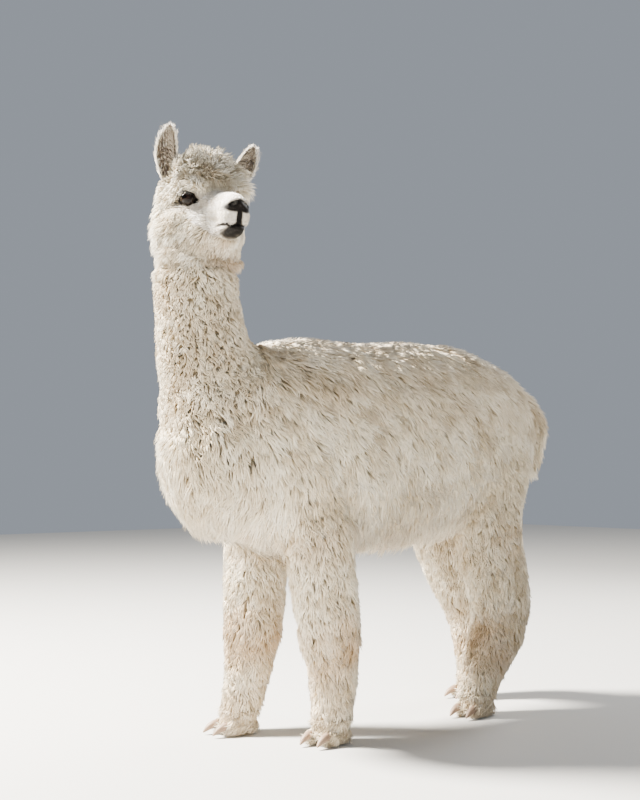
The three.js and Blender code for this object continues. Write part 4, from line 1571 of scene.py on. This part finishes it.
for side, name in SIDES.items():
    along = np.linspace(-1, 0.86, LASHES) * OPENING[0] * 1.08
    up = OPENING[1] * 1.12 * np.sqrt(np.clip(1 - (along / OPENING[0] / 1.1) ** 2, 0, 1))
    up = up - DROOP - 0.004 * along**2 + draw.random(LASHES) * 1.6
    out = np.sqrt(np.clip(LID_RADIUS**2 - along**2 - up**2, 25, None)) - 0.8
    aims = np.stack([along * 0.035 - 0.25, -0.35 + 0 * up, 1.0 + 0 * out], axis=1)
    aims = aims + draw.normal(size=(LASHES, 3)) * 0.12
    lift = out_of_eye(np.array([0, -1, 0]), side)
    grow(f"lashes_{name}", eye_place(np.stack([along, up, out], axis=1), side), out_of_eye(aims, side),
         np.tile(lift, (LASHES, 1)), 15, 0.42, 0.25, lash)

# %% Fringes and stray hairs of the ears
white_hair, grey_hair = [
    material(name, Roughness=0.7, Base_Color=code, Specular_IOR_Level=0.25)[0]
    for name, code in (("stray white hair", "#f6f1e8"), ("stray hair of the hollow", "#c9bcaa"))]
FRINGE, HOLLOW_HAIRS = 420, 130  # strands to an ear
STEM_TOP = 0.28  # the share of the ear's table of rings that lies inside the head


def ear_spot(side, share, across, deep):
    """Places on an ear at shares of its height and of its half width, so deep in its bowl."""
    table = curve_through(EAR_RINGS, np.clip(STEM_TOP + (1 - STEM_TOP) * share, 0, 1))
    x = -side * table[:, 2] + EAR_WIDTH * table[:, 1] * across
    return ear_place(np.stack([x, deep, table[:, 0] * EAR_LENGTH], axis=1), side)


def ear_way(ways, side):
    """Directions in an ear's own frame, in the world's."""
    return ear_place(ways, side) - ear_place(np.zeros((1, 3)), side)


for side, name in SIDES.items():
    share = draw.random(FRINGE) ** 0.8
    edge = draw.choice([-1, 1], FRINGE)
    place = ear_spot(side, share, edge * 0.97, draw.normal(size=FRINGE) * 0.8)
    aims = np.stack([edge * (0.5 - 0.2 * share), -0.45 + 0 * share, 0.8 + 0 * share], axis=1)
    aims += draw.normal(size=(FRINGE, 3)) * 0.22
    droop = np.tile(ear_way(np.array([[0, -1, 0.2]]), side), (FRINGE, 1))
    grow(f"ear_fringe_{name}", place, ear_way(aims, side), droop, 13, 0.6, 0.3, white_hair)
    share = 0.12 + 0.66 * draw.random(HOLLOW_HAIRS)
    inner = side * -0.75
    place = ear_spot(side, share, inner, 5 + 0 * share)
    aims = np.stack([-inner + 0 * share, -0.25 + 0 * share, 1.0 + 0 * share], axis=1)
    aims += draw.normal(size=(HOLLOW_HAIRS, 3)) * 0.25
    droop = np.tile(ear_way(np.array([[-inner, 0, 0]]), side), (HOLLOW_HAIRS, 1))
    grow(f"ear_hollow_hair_{name}", place, ear_way(aims, side), droop, 34, 0.5, 0.35, grey_hair)

# %% [markdown]
# ## Floor and light
#
# A sun lamp would draw hard shadows and hide half of the fleece, and discs a metre or two across
# soften them. The key lamp stands high in front and on the animal's right, so that the fleece is lit
# across its locks. A pale floor, two weak lamps and the world's sky light what it leaves dark.

# %% Floor and lamps
FLOOR_HALF = 9000
floor = mesh_from("floor", FLOOR_HALF * np.array([[-1, -1, 0], [1, -1, 0], [1, 1, 0], [-1, 1, 0]]),
                  [np.array([[0, 1, 2, 3]])], smooth=False)
floor.data.materials.append(floor_finish)


def lamp(name, place, size, power, tint, aim=(0, -0.2, 0.8)):
    """A round lamp at a place in metres, aimed at the animal's breast."""
    data = bpy.data.lights.new(name, "AREA")
    data.shape, data.size, data.energy, data.color = "DISK", size, power, tint
    item = bpy.data.objects.new(name, data)
    item.location = place
    item.rotation_euler = (Vector(place) - Vector(aim)).to_track_quat("Z", "Y").to_euler()
    bpy.context.scene.collection.objects.link(item)


lamp("key", (-2.3, -2.5, 4.1), 1.1, 3300, (1.0, 0.955, 0.875))
lamp("fill", (3.4, -1.6, 1.8), 2.4, 12, (0.92, 0.96, 1.0))
lamp("back", (-0.6, 3.4, 2.8), 2.0, 160, (1.0, 0.98, 0.95))
world = bpy.data.worlds.new("studio")
bpy.context.scene.world = world
world.use_nodes = True
sky = world.node_tree.nodes["Background"].inputs
sky["Color"].default_value, sky["Strength"].default_value = (0.80, 0.88, 1.0, 1), 0.38

# %% [markdown]
# ## Riding and replacing
#
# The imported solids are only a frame, so each is replaced by the piece that shows what it stands for:
# the skin takes the place of all the flesh, and an eye and a toenail of their own solids. The animal
# is one still body, so everything rides on its root.

# %% Riding and replacing
flesh = ["head", "neck", "trunk", "tail", "ear_left", "ear_right", *LEG_NODES, *FOOT_NODES]
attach(skin, "root")
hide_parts(*flesh)
for eye, name in zip(eyes, ("eye_left", "eye_right")):
    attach(eye, "root")
    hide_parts(name)
for nail, name in zip(nails, NAIL_NODES):
    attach(nail, "root")
    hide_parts(name)
print("replaced:", len(flesh), "flesh solids,", len(eyes), "eyes and", len(nails), "nails")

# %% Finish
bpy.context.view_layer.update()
print("took", seconds(), "s")
